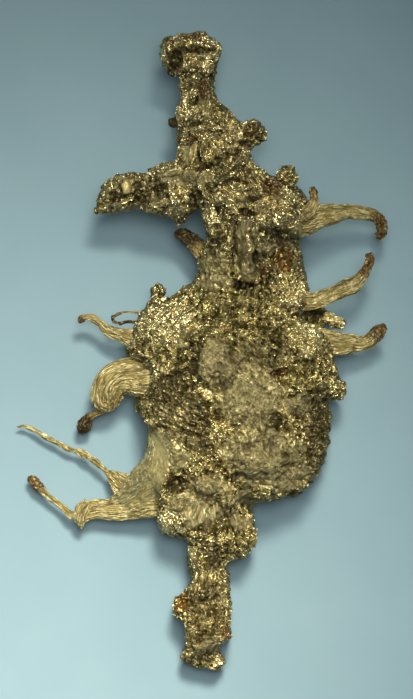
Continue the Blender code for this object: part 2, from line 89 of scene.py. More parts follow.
def node(tree, kind, inputs=None, out=None, **settings):
    """Adds a node with its settings. An input is a plain value, or the output that feeds it. What
    comes back is the output asked for, by name or number, or else the node."""
    made = tree.nodes.new(kind)
    for name, value in settings.items():
        setattr(made, name, value)
    for name, value in (inputs or {}).items():
        if isinstance(value, bpy.types.NodeSocket):
            tree.links.new(value, made.inputs[name])
        else:
            made.inputs[name].default_value = value
    return made if out is None else made.outputs[out]


def new_material(name):
    """An empty material and its node tree, with a Principled BSDF wired to the output."""
    material = bpy.data.materials.new(name)
    material.use_nodes = True
    tree = material.node_tree
    tree.nodes.clear()
    shader = node(tree, "ShaderNodeBsdfPrincipled")
    node(tree, "ShaderNodeOutputMaterial", {"Surface": shader.outputs["BSDF"]})
    return material, tree, shader


print("middle grey as linear light:", round(linear("#808080")[0], 3))

# %% [markdown]
# The light comes from above the head of the specimen and a little from the right, about 57 degrees
# up, as the shadows show. Its beam is aimed at the lower left, where the floor is brightest. The
# shadows have soft edges and are dark only close to the silver, so a second lamp, broader and
# nearly overhead, fills them. A dim sky lights the rest. The floor is a plain painted board. It
# pales outside the picture, so that it stays light where the beams end.

# %% Light and floor
LIGHT_DISTANCE = 320.0
# Each lamp is (where it is aimed, the way towards it, radius, beam in radians, watts, colour).
LIGHTS = {
    "key": (Vector((-27, -54, 0)), Vector((0.136, 0.528, 0.839)), 50.0, 0.43, 10.5, (1.0, 0.93, 0.8)),
    "fill": (Vector((-6, -10, 0)), Vector((0.04, 0.12, 0.992)), 80.0, 0.5, 4.5, (0.98, 0.97, 0.92)),
}
SKY = "#a0a8ac"
SKY_STRENGTH = 0.3
FLOOR_TONES = ("#7b98a2", "#88a3ac")
# Painted light: far out the board is painted paler, so it stays light where the lamps' beams end.
FAR_TONE = "#d9e9f0"
PALING = (50.0, 170.0)  # from the first distance to the second the board turns to its far tone
MOTTLE_PER_METRE = 90.0  # how fine its faint unevenness is
FLOOR_SIZE = 1600.0
FLOOR_DROP = 0.02


def make_light():
    """Soft spots: a lamp's radius over its distance sets how soft its shadows are."""
    for name, (target, way, radius, beam, watts, colour) in LIGHTS.items():
        lamp = bpy.data.lights.new(name, "SPOT")
        lamp.energy = watts
        lamp.color = colour
        lamp.spot_size = beam
        lamp.spot_blend = 1.0
        lamp.shadow_soft_size = radius * MM
        holder = bpy.data.objects.new(name, lamp)
        holder.location = (target + way * LIGHT_DISTANCE) * MM
        holder.rotation_euler = way.to_track_quat("Z", "Y").to_euler()
        bpy.context.scene.collection.objects.link(holder)
    world = bpy.data.worlds.new("sky")
    world.use_nodes = True
    sky = world.node_tree.nodes["Background"]
    sky.inputs["Color"].default_value = linear(SKY)
    sky.inputs["Strength"].default_value = SKY_STRENGTH
    bpy.context.scene.world = world
    bpy.context.scene.view_settings.view_transform = "Standard"


def make_floor():
    """A plain square just under the specimen. Its colour wavers a little between two tones, and
    turns to the far tone with the distance from the middle."""
    half = FLOOR_SIZE / 2 * MM
    corners = [(-half, -half), (half, -half), (half, half), (-half, half)]
    mesh = bpy.data.meshes.new("floor")
    mesh.from_pydata([(x, y, -FLOOR_DROP * MM) for x, y in corners], [], [(0, 1, 2, 3)])
    floor = bpy.data.objects.new("floor", mesh)
    bpy.context.scene.collection.objects.link(floor)
    material, tree, shader = new_material("pale_painted_board")
    place = node(tree, "ShaderNodeTexCoord", out="Object")
    mottle = node(
        tree, "ShaderNodeTexNoise", {"Vector": place, "Scale": MOTTLE_PER_METRE, "Detail": 4.0}, "Fac"
    )
    distance = node(tree, "ShaderNodeVectorMath", {0: place}, "Value", operation="LENGTH")
    far = node(
        tree, "ShaderNodeMapRange", {0: distance, 1: PALING[0] * MM, 2: PALING[1] * MM}, 0
    )
    colour = linear(FLOOR_TONES[0])
    for share, tone in ((mottle, FLOOR_TONES[1]), (far, FAR_TONE)):
        colour = node(
            tree, "ShaderNodeMix", {0: share, 6: colour, 7: linear(tone)}, 2, data_type="RGBA"
        )
    tree.links.new(colour, shader.inputs["Base Color"])
    # Matt paint shows soft shadows and mirrors nothing.
    shader.inputs["Roughness"].default_value = 0.85
    mesh.materials.append(material)


make_light()
make_floor()
print("lamps:", len(LIGHTS), "and a floor of", FLOOR_SIZE / 1000, "m")

# %% [markdown]
# A crystalline skin has no pattern that repeats, but it must come out the same on every run. A
# random draw for each point would give a different skin whenever the grid changes. So the
# roughness is worked out from the place itself, by scrambling the numbers of a lattice corner. The
# solids have lumps from the same formula, so the fine surface follows them.

# %% Noise that is the same on every run
HASH_AXES = np.array((374761393, 668265263, 1440662683))
HASH_SEED = 974634777
HASH_STIR = 1274126177
HASH_MASK = 0xFFFFFFFF


def lattice_value(corner, seed):
    """A fixed value from -1 to 1 for each whole-number corner of the lattice."""
    mixed = (corner @ HASH_AXES + seed * HASH_SEED) & HASH_MASK
    mixed = ((mixed ^ (mixed >> 13)) * HASH_STIR) & HASH_MASK
    return (mixed ^ (mixed >> 16)) / 2**31 - 1.0


def noise(points, size, seed):
    """Smooth noise from -1 to 1: the values of the cell's eight corners, blended."""
    cell = points / size
    base = np.floor(cell).astype(np.int64)
    share = cell - base
    share = share * share * (3 - 2 * share)
    total = np.zeros(points.shape[:-1])
    for corner in itertools.product((0, 1), repeat=3):
        weight = np.prod(np.where(corner, share, 1 - share), axis=-1)
        total += weight * lattice_value(base + np.array(corner), seed)
    return total


def push_aside(points, size, seed):
    """Three noises as one vector for each point."""
    return np.stack([noise(points, size, seed + axis) for axis in range(3)], axis=-1)


# %% [markdown]
# Smooth noise makes soft hills, while crystals have flat faces with sharp seams. Sites scattered
# one to a cell give those: each place belongs to its nearest site and lies on that site's tilted
# plane.

# %% Flat-faced grains
SITE_WANDER = 0.42  # of a cell, how far a site may lie from its middle
GRAIN_LIFT = 0.35  # how much of a step there is between neighbours


def grains(points, size, seed):
    """Flat-faced grains. Each point takes the plane of its nearest scattered site: the offset from
    the site times the site's own tilt, plus its own lift. Also how far the point is from the seam
    with the next grain, which is the second least distance less the least."""
    cell = points / size
    base = np.floor(cell).astype(np.int64)
    nearest = np.full(points.shape[:-1], 9.0)
    second = nearest.copy()
    offset = np.zeros(points.shape)
    site = np.zeros(points.shape, np.int64)
    for step in itertools.product((-1, 0, 1), repeat=3):
        corner = base + np.array(step)
        shift = [lattice_value(corner, seed + axis) for axis in range(3)]
        away = cell - corner - 0.5 - SITE_WANDER * np.stack(shift, axis=-1)
        far = np.linalg.norm(away, axis=-1)
        closer = far < nearest
        second = np.where(closer, nearest, np.minimum(second, far))
        nearest = np.where(closer, far, nearest)
        offset = np.where(closer[..., None], away, offset)
        site = np.where(closer[..., None], corner, site)
    tilt = np.stack([lattice_value(site, seed + 3 + axis) for axis in range(3)], axis=-1)
    lift = lattice_value(site, seed + 6)
    return (tilt * offset).sum(axis=-1) + GRAIN_LIFT * lift, second - nearest


sample = np.stack([np.linspace(0, 9, 400), np.zeros(400), np.zeros(400)], axis=-1)
for title, height in (("noise", noise(sample, 1.0, 0)), ("grains", grains(sample, 1.0, 0)[0])):
    print(f"{title} along a line: from {height.min():.2f} to {height.max():.2f}")

# %% [markdown]
# The stem, the mass and the stalk are one growth, so they are one surface here too, cut at the
# forks into the three pieces of the solid model. Four curves shape it: its left and right outline
# seen from above, and its top and bottom seen from the side.

# %% Outlines of the trunk
FORK_TOP, FORK_FOOT = 21.35, -22.05  # where the stem and the stalk begin, along Y
SECTION_POWER = 2.5  # 2 makes the section an ellipse, and more makes it boxier
# A point of an outline is (y, x), and a point of the top or the bottom is (y, z).
TRUNK_LEFT = [
    (-34.8, -0.8), (-34.0, -1.7), (-31.6, -1.8), (-29.6, -2.0), (-28.8, -2.7), (-27.9, -3.1),
    (-27.2, -2.9), (-26.3, -2.2), (-25.6, -1.1), (-23.2, -1.6), (-21.9, -1.4), (-20.7, -1.6),
    (-20.2, -3.1), (-19.5, -4.3), (-18.6, -4.6), (-17.1, -4.6), (-16.0, -5.0),
    (-15.0, -5.5), (-14.0, -5.9), (-13.1, -6.0), (-11.6, -5.9), (-9.8, -5.7),
    (-8.1, -6.0), (-7.2, -6.7), (-6.3, -7.1), (-5.2, -7.0), (-3.9, -6.0), (-1.4, -6.4),
    (-0.6, -7.2), (0.3, -7.6), (2.5, -7.1), (3.6, -6.8), (4.5, -6.2), (5.4, -5.4), (6.1, -3.6),
    (7.0, -1.7), (8.5, -0.3), (10.2, 0.3), (12.7, 0.7), (14.6, 0.3), (16.0, 0.0), (17.4, -1.6),
    (19.2, -2.8), (21.2, -2.5), (23.6, -2.4), (25.4, -2.0), (28.9, -2.2), (30.1, -2.9),
    (30.8, -3.9), (31.8, -4.4), (33.0, -4.3), (33.9, -4.0), (34.4, -3.5), (34.8, -2.2),
]
TRUNK_RIGHT = [
    (-34.8, 1.8), (-34.0, 2.4), (-32.1, 2.5), (-31.5, 3.3), (-29.0, 3.3), (-27.2, 3.1),
    (-25.0, 3.4), (-23.3, 3.6), (-21.9, 5.0), (-21.3, 5.6), (-18.6, 5.7), (-17.1, 5.6),
    (-16.6, 6.0), (-15.9, 8.8), (-15.5, 10.6), (-14.0, 12.2), (-12.4, 13.4), (-9.8, 13.8),
    (-7.2, 14.4), (-5.2, 14.3), (-4.6, 15.2), (-3.9, 15.6), (-3.0, 15.2), (-1.4, 14.9),
    (0.3, 14.8), (1.4, 14.2), (2.4, 13.0), (3.0, 11.6), (3.9, 10.7), (5.2, 11.4), (7.3, 11.8),
    (8.5, 11.5), (10.2, 10.7), (12.7, 11.0), (14.6, 12.1), (15.7, 12.2), (16.8, 12.0),
    (17.9, 10.8), (18.8, 9.2), (19.9, 6.6), (21.2, 5.4), (23.0, 4.9), (24.5, 4.6), (25.8, 3.7),
    (26.7, 3.1), (27.8, 2.3), (28.9, 1.7), (30.8, 1.4), (32.2, 1.8), (33.0, 1.9), (33.8, 1.4),
    (34.4, 0.6), (34.8, -0.2),
]
TRUNK_TOP = [
    (-34.8, 3.6), (-33.0, 5.0), (-30.0, 5.6), (-27.0, 5.4), (-24.0, 5.8), (-21.9, 6.4),
    (-17.0, 8.2), (-14.0, 9.4), (-10.0, 10.4), (-5.0, 10.8), (0.0, 10.4), (4.0, 9.9), (7.8, 9.6),
    (10.0, 10.4), (12.2, 11.6), (14.5, 13.6), (17.0, 14.0), (19.0, 13.0), (21.2, 11.6),
    (25.0, 10.4), (28.0, 9.4), (30.0, 9.2), (32.0, 10.4), (33.5, 10.2), (34.8, 8.6),
]
TRUNK_BOTTOM = [
    (-34.8, 1.2), (-34.0, 0.3), (-32.0, -0.2), (-28.0, -0.2), (-25.0, 0.3), (-21.9, 0.6),
    (-18.0, 0.6), (-15.0, -0.2), (-11.0, -1.3), (-3.0, -1.3), (1.0, -0.4), (5.0, 0.9), (8.0, 1.6),
    (11.0, 1.4), (13.5, 0.4), (16.0, 0.4), (19.0, 3.0), (21.2, 5.0), (25.0, 4.8), (28.0, 5.0),
    (30.0, 5.2), (32.0, 4.4), (33.5, 5.0), (34.8, 6.6),
]
ROW_STEP = 0.19  # millimetres from ring to ring
TRUNK_AROUND = 304  # points round a ring
TOP_SHARE = 0.7  # of the points around, how many are on the upper side
STEEPEST = 3.0  # of an outline, for the spacing of the rows


def profile(knots, at):
    """A smooth curve through the knots. Each knot's slope comes from its neighbours (Hermite)."""
    place, value = np.array(knots, float).T
    slope = np.gradient(value, place)
    first = np.clip(np.searchsorted(place, at) - 1, 0, len(place) - 2)
    span = place[first + 1] - place[first]
    t = np.clip((at - place[first]) / span, 0, 1)
    return (
        (1 + 2 * t) * (1 - t) ** 2 * value[first]
        + t * (1 - t) ** 2 * span * slope[first]
        + t**2 * (3 - 2 * t) * value[first + 1]
        - t**2 * (1 - t) * span * slope[first + 1]
    )


def trunk_rows():
    """Places along Y with an even distance from each to the next along the steeper outline."""
    fine = np.linspace(TRUNK_LEFT[0][0], TRUNK_LEFT[-1][0], 6000)
    slopes = [np.abs(np.gradient(profile(side, fine), fine)) for side in (TRUNK_LEFT, TRUNK_RIGHT)]
    stretch = np.sqrt(1 + np.minimum(np.maximum(*slopes), STEEPEST) ** 2)
    reach = np.cumsum(stretch) * (fine[1] - fine[0])
    return np.interp(np.linspace(reach[0], reach[-1], round(np.ptp(reach) / ROW_STEP)), reach, fine)


def trunk_grid(y, around):
    """Rings |x / half width|^n + |z / half height|^n = 1 between the four curves. The angle runs
    over the top from the right to the left, and back underneath."""
    turn = np.arange(around) / around
    over = np.pi * turn / TOP_SHARE
    under = np.pi + np.pi * (turn - TOP_SHARE) / (1 - TOP_SHARE)
    angle = np.where(turn < TOP_SHARE, over, under)[None, :]
    y = y[:, None]
    left, right = profile(TRUNK_LEFT, y), profile(TRUNK_RIGHT, y)
    low, high = profile(TRUNK_BOTTOM, y), profile(TRUNK_TOP, y)
    across = np.cos(angle)
    upward = np.sign(np.sin(angle)) * (1 - np.abs(across) ** SECTION_POWER) ** (1 / SECTION_POWER)
    x = (left + right) / 2 + (right - left) / 2 * across
    z = (low + high) / 2 + (high - low) / 2 * upward
    return np.stack([x, np.broadcast_to(y, x.shape), z], axis=-1)


trunk = trunk_grid(trunk_rows(), TRUNK_AROUND)
print("trunk grid:", trunk.shape)

# %% [markdown]
# What makes this specimen itself is where its lumps, hollows and stains are. They are a list of
# ovals seen from above, and a later one covers an earlier one. Each raises or sinks the surface,
# and gives it a finish: dull where rock still sticks to the silver, dark where soot-like sulphide
# fills a hollow, rust and amber where iron has stained it, satin where it is smooth, bright where
# it is clean. The other kinds are fainter or have a form of their own: worn, shade and silk are
# faint dull, dark and satin ground, a pit is dark, a dome is a dull bump with a steep edge, and
# arcs are bright strands that ring a boss.

# %% Lumps, hollows and stains
# Each is (kind, x, y, half length, half breadth, turn in degrees, rise).
SPOTS = [
    # Broad ground, which the spots after it cover
    ("bright", 1.4, 23.6, 3.4, 2.6, 0, 0.0), ("bright", 4.2, 16.0, 4.2, 2.6, 0, 0.0),
    ("bright", 9.8, 6.8, 2.2, 2.0, 0, 0.0), ("bright", -0.4, 27.6, 1.8, 3.0, 0, 0.0),
    ("bright", 7.6, 16.2, 3.4, 2.8, 0, 0.0), ("bright", -1.2, 32.6, 3.2, 2.2, 0, 0.0),
    ("bright", -3.4, 18.0, 2.6, 2.2, 0, 0.0), ("shade", 0.8, -32.4, 2.6, 1.9, 90, 0.0),
    ("shade", -6.6, 17.3, 3.8, 2.0, 15, 0.0), ("shade", -0.4, 28.6, 1.2, 2.2, 0, 0.0),
    ("worn", 5.6, -4.4, 4.6, 4.0, 100, 0.0), ("worn", 7.2, -11.6, 5.2, 3.2, -10, 0.0),
    ("worn", 0.0, -16.4, 4.0, 2.8, 20, 0.0), ("worn", 1.8, 8.8, 2.4, 1.6, 70, 0.0),
    ("shade", -2.4, -6.2, 3.4, 2.2, -25, 0.0), ("worn", 5.4, -0.2, 1.8, 1.6, 0, 0.0),
    # The flared head
    ("pit", -2.7, 31.9, 1.6, 0.8, 82, -1.8), ("bright", -3.9, 32.5, 1.9, 0.45, 85, 0.5),
    ("bright", -0.8, 34.0, 2.2, 0.5, -6, 0.3), ("rust", -0.9, 34.5, 1.4, 0.35, 0, 0.0),
    ("pit", -0.7, 33.1, 2.3, 0.45, -3, -1.1), ("pit", 0.8, 31.9, 1.3, 0.32, -5, -0.7),
    ("dark", -0.4, 30.9, 0.7, 0.5, 90, -0.5), ("dark", 1.0, 30.4, 0.4, 0.8, 0, -0.3),
    ("bright", 0.4, 31.6, 1.0, 0.22, 0, 0.1), ("dark", 0.2, 30.1, 0.55, 0.45, 0, -0.2),
    # The stem
    ("dark", 0.9, 28.3, 0.9, 0.55, 100, -0.4), ("olive", 1.9, 26.3, 0.95, 0.8, 0, 0.1),
    ("rust", -1.3, 23.5, 0.9, 0.5, 0, 0.0), ("satin", -1.1, 21.8, 1.3, 0.8, 80, 0.4),
    ("pit", 0.0, 21.7, 1.3, 0.3, 95, -0.8), ("pit", 2.4, 21.2, 1.1, 0.55, 0, -0.9),
    ("bright", 2.8, 22.4, 1.3, 0.6, 0, 0.3), ("rust", 4.8, 24.0, 0.7, 0.5, 90, 0.0),
    ("dark", 4.9, 22.8, 0.65, 0.55, 0, -0.3), ("dark", -0.6, 27.6, 0.5, 0.9, 0, -0.5),
    ("dark", 1.4, 29.4, 0.5, 1.0, 0, -0.4), ("rust", 0.4, 28.9, 0.6, 1.2, 0, 0.0),
    ("dark", 0.9, 20.3, 1.8, 0.4, 15, -0.7), ("dark", -1.2, 25.1, 1.4, 0.35, 0, -0.5),
    ("dark", 2.0, 24.0, 1.2, 0.3, 0, -0.5), ("dark", 3.0, 26.6, 0.6, 0.5, 0, -0.3),
    # The arm
    ("dome", -8.1, 18.0, 1.1, 0.7, 100, 0.6), ("satin", -8.1, 18.0, 1.15, 0.75, 95, 0.0),
    ("pit", -6.9, 18.4, 0.4, 0.35, 0, -0.5), ("dull", -1.7, 19.0, 2.7, 0.9, 0, 0.0),
    ("dark", -8.8, 16.8, 1.4, 0.4, 15, -0.3), ("dark", -6.0, 16.6, 0.6, 0.4, 0, -0.2),
    ("bright", -2.4, 15.3, 0.9, 0.8, 0, 0.0), ("pit", -0.6, 16.8, 1.5, 0.8, 80, -0.8),
    # The shoulder, and where the arm joins it
    ("olive", 3.2, 19.7, 1.7, 0.4, 37, 0.5), ("pit", 3.0, 18.6, 1.6, 0.35, 20, -1.0),
    ("dull", 4.8, 16.5, 0.8, 0.6, 0, 0.5), ("pit", 5.1, 15.1, 1.2, 0.34, -14, -0.5),
    ("pit", 3.6, 14.2, 0.5, 0.9, 0, -0.9), ("pit", 1.9, 15.2, 0.35, 1.0, 10, -0.8),
    ("dark", 6.0, 16.9, 0.9, 0.24, 28, -0.4), ("pit", 2.0, 17.6, 0.9, 0.35, -30, -0.7),
    ("dark", -4.2, 18.1, 1.3, 0.5, 20, -0.5), ("dark", -5.4, 16.0, 1.0, 0.5, 0, -0.3),
    ("pit", -7.0, 16.6, 1.1, 0.35, 10, -0.7), ("dark", -9.6, 17.4, 0.7, 0.6, 0, -0.3),
    ("bright", 2.4, 16.2, 0.7, 0.7, 0, 0.3), ("arcs", 9.1, 15.1, 2.9, 2.4, 0, 0.4),
    ("rust", 7.9, 18.4, 1.4, 1.0, 0, 0.2), ("pit", 9.0, 12.5, 2.3, 1.1, 0, -3.4),
    # The column under the shoulder
    ("dark", 8.5, 11.6, 0.6, 0.6, 0, 0.0), ("amber", 9.1, 10.1, 1.4, 1.0, 80, 0.0),
    ("worn", 5.0, 11.0, 3.2, 1.4, 95, 1.3), ("worn", 7.3, 11.1, 1.0, 0.8, 90, 0.3),
    ("rust", 7.0, 8.9, 0.8, 0.7, 0, -0.1), ("pit", 4.6, 7.3, 1.6, 0.75, 0, -2.4),
    ("dark", 1.8, 11.8, 1.5, 0.7, 80, -0.7), ("dark", 3.7, 11.4, 2.1, 0.3, 88, -0.4),
    ("dark", 6.3, 10.4, 1.9, 0.35, 95, -0.4), ("bright", 5.2, 11.2, 2.4, 0.25, 88, 0.15),
    # The mass
    ("dome", 1.6, -1.2, 2.7, 2.3, 90, 1.3), ("dome", 2.0, -2.4, 1.1, 0.8, 0, 0.4),
    ("shade", 2.0, -2.5, 0.5, 0.4, 0, -0.3), ("dull", 6.0, -5.8, 2.7, 2.1, 100, 0.9),
    ("dull", 4.2, -4.3, 1.7, 1.5, 0, 0.3), ("silk", 0.9, -4.6, 0.7, 0.5, 0, 0.1),
    ("dull", 10.8, -5.8, 1.5, 0.9, 0, 0.6), ("olive", 12.6, -3.9, 1.1, 0.7, 90, 0.3),
    ("dull", 8.1, -9.1, 0.9, 0.6, 0, 0.1), ("dull", 7.2, -12.4, 2.9, 1.9, 0, 0.9),
    ("dull", 9.9, -14.0, 2.0, 1.1, 15, 0.0), ("dull", 0.6, -14.6, 1.6, 1.2, 0, 0.5),
    ("satin", -2.2, 1.0, 0.9, 0.5, 0, 0.2), ("pit", 0.3, -10.3, 1.0, 0.5, 10, -0.9),
    ("pit", -2.4, -14.6, 1.5, 0.9, -10, -1.0), ("pit", 4.3, -13.6, 1.1, 0.5, 0, -0.8),
    ("dark", 8.4, -7.4, 0.9, 0.6, 90, -0.3), ("silk", 14.6, 3.7, 1.4, 0.7, -15, 0.0),
    ("dark", 12.4, 3.9, 1.3, 1.1, 0, 0.0), ("pit", -2.7, -2.4, 2.3, 0.45, 15, -0.9),
    ("dark", -3.8, -4.7, 2.8, 2.2, 0, 0.0), ("bright", -3.8, 3.6, 3.2, 2.8, 0, 0.0),
    ("bright", 2.0, -11.5, 1.0, 0.6, 70, 0.5), ("bright", -2.0, -12.6, 1.1, 0.6, 10, 0.3),
    ("bright", 2.8, -8.5, 1.8, 0.8, 20, 0.0), ("olive", 9.6, -2.7, 1.6, 1.0, -10, -0.2),
    ("rust", 8.6, -2.2, 1.1, 0.6, 20, -0.2), ("bright", 11.6, 1.2, 2.0, 1.9, 0, 0.0),
    ("shade", 7.2, -0.3, 2.6, 1.8, 0, -0.2), ("dark", 13.2, -8.5, 5.2, 1.6, 85, 0.0),
    # The mass's lower left and its foot
    ("satin", -5.6, -12.6, 4.2, 2.0, 75, -0.9), ("bright", -3.1, -18.6, 1.7, 1.5, 0, 0.5),
    ("silk", -3.6, -9.4, 2.4, 1.8, 60, 0.0), ("shade", -2.8, -7.4, 3.2, 1.9, -25, 0.0),
    ("shade", -1.6, -8.6, 3.0, 1.3, -20, 0.0), ("silk", -2.6, -11.8, 1.7, 1.4, 0, 0.0),
    ("worn", 0.8, -17.3, 2.2, 1.3, 0, 0.0), ("pit", 1.6, -21.7, 2.0, 0.6, 85, -1.2),
    ("dome", 6.6, -12.3, 3.1, 2.2, -10, 0.4), ("shade", -0.6, -7.4, 2.1, 1.2, -20, 0.2),
    ("dome", 0.7, -14.5, 1.5, 1.1, 0, 0.35), ("dome", 10.6, -5.9, 1.6, 1.0, -15, 0.5),
    ("dull", 4.4, -18.6, 1.1, 0.9, 0, 0.3), ("dull", 4.9, -16.2, 1.1, 0.9, 60, 0.0),
    # The stalk
    ("shade", 0.4, -27.0, 2.6, 2.4, 90, 0.0), ("bright", -0.7, -23.0, 1.5, 0.6, 90, 0.1),
    ("amber", -2.0, -27.3, 1.3, 0.8, 90, 0.6), ("pit", 0.2, -27.2, 0.5, 0.35, 0, -0.6),
    ("pit", 1.8, -26.9, 0.5, 0.4, 0, -0.6), ("rust", 2.8, -30.7, 0.9, 0.7, 90, 0.0),
    ("dull", 1.0, -32.2, 1.1, 0.7, 0, 0.2), ("bright", 1.9, -33.8, 0.8, 0.7, 0, 0.1),
    ("dark", -1.4, -34.0, 0.7, 0.5, 90, 0.0),
]
# Silky ground has fine grooves that all run one way. Each is (x, y, half length, half breadth,
# the way they run in degrees).
SILKY = [
    (-2.0, 4.2, 4.6, 3.4, 40), (-2.6, -6.6, 3.6, 2.4, -25),
    (-0.2, -18.0, 3.0, 2.0, 75), (2.6, -18.6, 2.6, 2.0, 100), (-6.0, -13.6, 4.6, 3.2, 25),
    (7.4, -14.6, 3.4, 1.6, -15), (-0.9, 22.0, 1.5, 1.1, 70), (-0.8, 26.6, 3.0, 0.9, 95),
    (3.2, 19.7, 2.2, 0.9, 37), (5.0, 11.0, 3.4, 1.4, 92), (8.9, 10.0, 1.6, 1.2, 85),
    (0.2, -24.6, 3.2, 1.4, 92), (10.6, 4.6, 2.2, 1.4, 20), (-5.4, 0.6, 1.8, 1.2, 10),
]
FINISHES = ("dull", "dark", "rust", "amber", "olive", "satin", "bright")
# A kind that isn't a finish itself is another finish, at this share of its strength.
OTHER_KINDS = {
    "pit": ("dark", 1), "shade": ("dark", 0.55), "arcs": ("bright", 0.8),
    "worn": ("dull", 0.6), "dome": ("dull", 1), "silk": ("satin", 0.5),
}
print("spots:", len(SPOTS), "silky:", len(SILKY))

# %% [markdown]
# A spot is read at any number of points at once: its distance is 1 on its edge. One function
# raises the surface with it, and a second one turns it to a finish. A stain has a ragged edge, so
# the second reads the distance at places that noise has pushed aside.

# %% Shape and finish from the spots
MOAT_WIDTH = 0.25
MOAT_DEPTH = 0.15
STAIN_EDGES = ((1.1, 0.4), (0.35, 0.2))  # how ragged a stain is, each (size, reach)
WIDE_SPOT = 1.4  # a narrower spot has less ragged edges
DOME_RAGGED = 0.3  # and so has a dome
EDGE = 4.0  # how fast a finish fades in across a spot's edge
SPOT_EDGE = 1.06  # where it is gone, as a distance


def turned(points, x, y, turn):
    """Distances along and across a direction, from a middle: the dot products with its two axes."""
    angle = np.radians(turn)
    dx, dy = points[..., 0] - x, points[..., 1] - y
    return dx * np.cos(angle) + dy * np.sin(angle), dy * np.cos(angle) - dx * np.sin(angle)


def spot_distance(points, x, y, long, broad, turn):
    """Distance from a spot's middle, seen from above, where 1 is its edge."""
    along, across = turned(points, x, y, turn)
    return np.hypot(along / long, across / broad)


def surface_normals(grid):
    """Outward unit normals: the step along the rings crossed with the step around."""
    along = np.gradient(grid, axis=0)
    around = np.roll(grid, -1, axis=1) - np.roll(grid, 1, axis=1)
    normal = np.cross(along, around)
    return normal / np.maximum(np.linalg.norm(normal, axis=-1, keepdims=True), 1e-9)


def shaped_by_spots(grid):
    """Each spot lifts the upper side by rise * (1 - d^2)^2 along its normal. A dome is steeper at
    its edge, rise * (1 - d^4), with a narrow moat round it."""
    normal = surface_normals(grid)
    facing = np.clip(normal[..., 2], 0, 1)
    rise = np.zeros(grid.shape[:2])
    for kind, x, y, long, broad, turn, height in SPOTS:
        if height:
            far = spot_distance(grid, x, y, long, broad, turn)
            if kind == "dome":
                moat = np.exp(-(((far - SPOT_EDGE) * broad / MOAT_WIDTH) ** 2))
                rise += (height * np.clip(1 - far**4, 0, 1) - MOAT_DEPTH * moat) * facing
            else:
                rise += height * np.clip(1 - far**2, 0, 1) ** 2 * facing
    return grid + normal * rise[..., None]


def finishes_of(grid, facing):
    """How much of each finish every point has, from 0 to 1. A spot's edge is ragged because the
    distance is read at a point that noise has pushed aside."""
    push = np.zeros(grid.shape)
    for size, reach in STAIN_EDGES:
        push += reach * push_aside(grid, size, 31)
    made = {name: np.zeros(grid.shape[:2]) for name in FINISHES}
    upward = np.clip(4 * facing, 0, 1)
    for kind, x, y, long, broad, turn, height in SPOTS:
        ragged = DOME_RAGGED if kind == "dome" else min(1, broad / WIDE_SPOT)
        far = spot_distance(grid + push * ragged, x, y, long, broad, turn)
        name, strength = OTHER_KINDS.get(kind, (kind, 1))
        amount = np.clip(EDGE * (SPOT_EDGE - far), 0, 1) * upward * strength
        for other, value in made.items():
            made[other] = np.maximum(value, amount) if other == name else value * (1 - amount)
    return made


# %% [markdown]
# Silky ground is silver that grew in parallel fibres. Its pattern of chips is read at squeezed
# places, which draws the chips out to fibres, and fine grooves run the same way. Round the boss
# of the shoulder the fibres run in rings, so the places are turned to distance and angle there.

# %% Silky ground
FIBRE_STRETCH = 0.34
FIBRE_WAVE = 0.12  # how far a fibre swings to its side
RING_STRETCH = 0.14
PATTERN_STEP = 9  # each silky patch reads another part of the pattern
GROOVE_WIDTH = 0.24
GROOVE_STRETCH = 0.12
GROOVE_WAVE = 0.25
FRAYED = 0.3  # how ragged the edge of a silky patch is


def drawn_out(grid):
    """Places for the pattern of the silver. On silky ground they are squeezed along the way its
    grooves run, and on arcs they are (distance, angle) about the middle, so that what is drawn at
    them comes out as long fibres."""
    drawn = grid.copy()
    frayed = FRAYED * noise(grid, 0.8, 70)
    for seed, (x, y, long, broad, turn) in enumerate(SILKY):
        inside = spot_distance(grid, x, y, long, broad, turn) + frayed < 1
        along, across = turned(grid, 0, 0, turn)
        wave = FIBRE_WAVE * np.sin(along)
        fibres = np.stack([along * FIBRE_STRETCH, across + wave, grid[..., 2]], axis=-1)
        drawn = np.where(inside[..., None], fibres + PATTERN_STEP * (seed + 1), drawn)
    for kind, x, y, long, broad, turn, height in SPOTS:
        if kind == "arcs":
            dx, dy = grid[..., 0] - x, grid[..., 1] - y
            reach = np.hypot(dx, dy) + 0.2 * noise(grid, 1.2, 71)
            rings = np.stack([reach, RING_STRETCH * np.arctan2(dy, dx), 0 * dx], axis=-1)
            frayed = FRAYED * noise(grid, 0.8, 72)
            inside = spot_distance(grid, x, y, long, broad, turn) + frayed < 1
            drawn = np.where(inside[..., None], rings, drawn)
    return drawn


def grooves(grid, facing):
    """Fine grooves on silky ground: noise squeezed along the way they run, sharp where it crosses
    zero."""
    total = np.zeros(grid.shape[:2])
    upward = np.clip(3 * facing, 0, 1)
    for seed, (x, y, long, broad, turn) in enumerate(SILKY):
        far = spot_distance(grid, x, y, long, broad, turn)
        along, across = turned(grid, x, y, turn)
        wave = GROOVE_WAVE * np.sin(along)
        drawn = np.stack([along * GROOVE_STRETCH, across + wave, grid[..., 2]], axis=-1)
        sharp = (1 - np.abs(noise(drawn, GROOVE_WIDTH, 60 + seed))) ** 3
        total = np.maximum(total, sharp * np.clip(1.5 * (1.1 - far), 0, 1) * upward)
    return total


silky = grooves(trunk, np.ones(trunk.shape[:2])) > 0
print("silky share of the trunk:", round(silky.mean(), 2))

# %% [markdown]
# Silver grows as fused strands and plates, so the crust has sharp ridges with pits between them. A
# ridge follows each line where smooth noise crosses zero, and flat-faced grains break it up. The
# ridges get rubbed and shine, while sulphide collects in the pits. So each point also remembers
# how high it is on a ridge and how deep in a pit, and the material reads both. Cracks between
# larger plates break the crust up from a step away.

# %% Cracks and hollows
PLATE_SIZE = 2.1  # millimetres from crack to crack
CRACK_WANDER = (0.9, 0.5)  # from bend to bend, and how far aside
CRACK_WIDTH = 0.09
HOLLOW_STEPS = 3


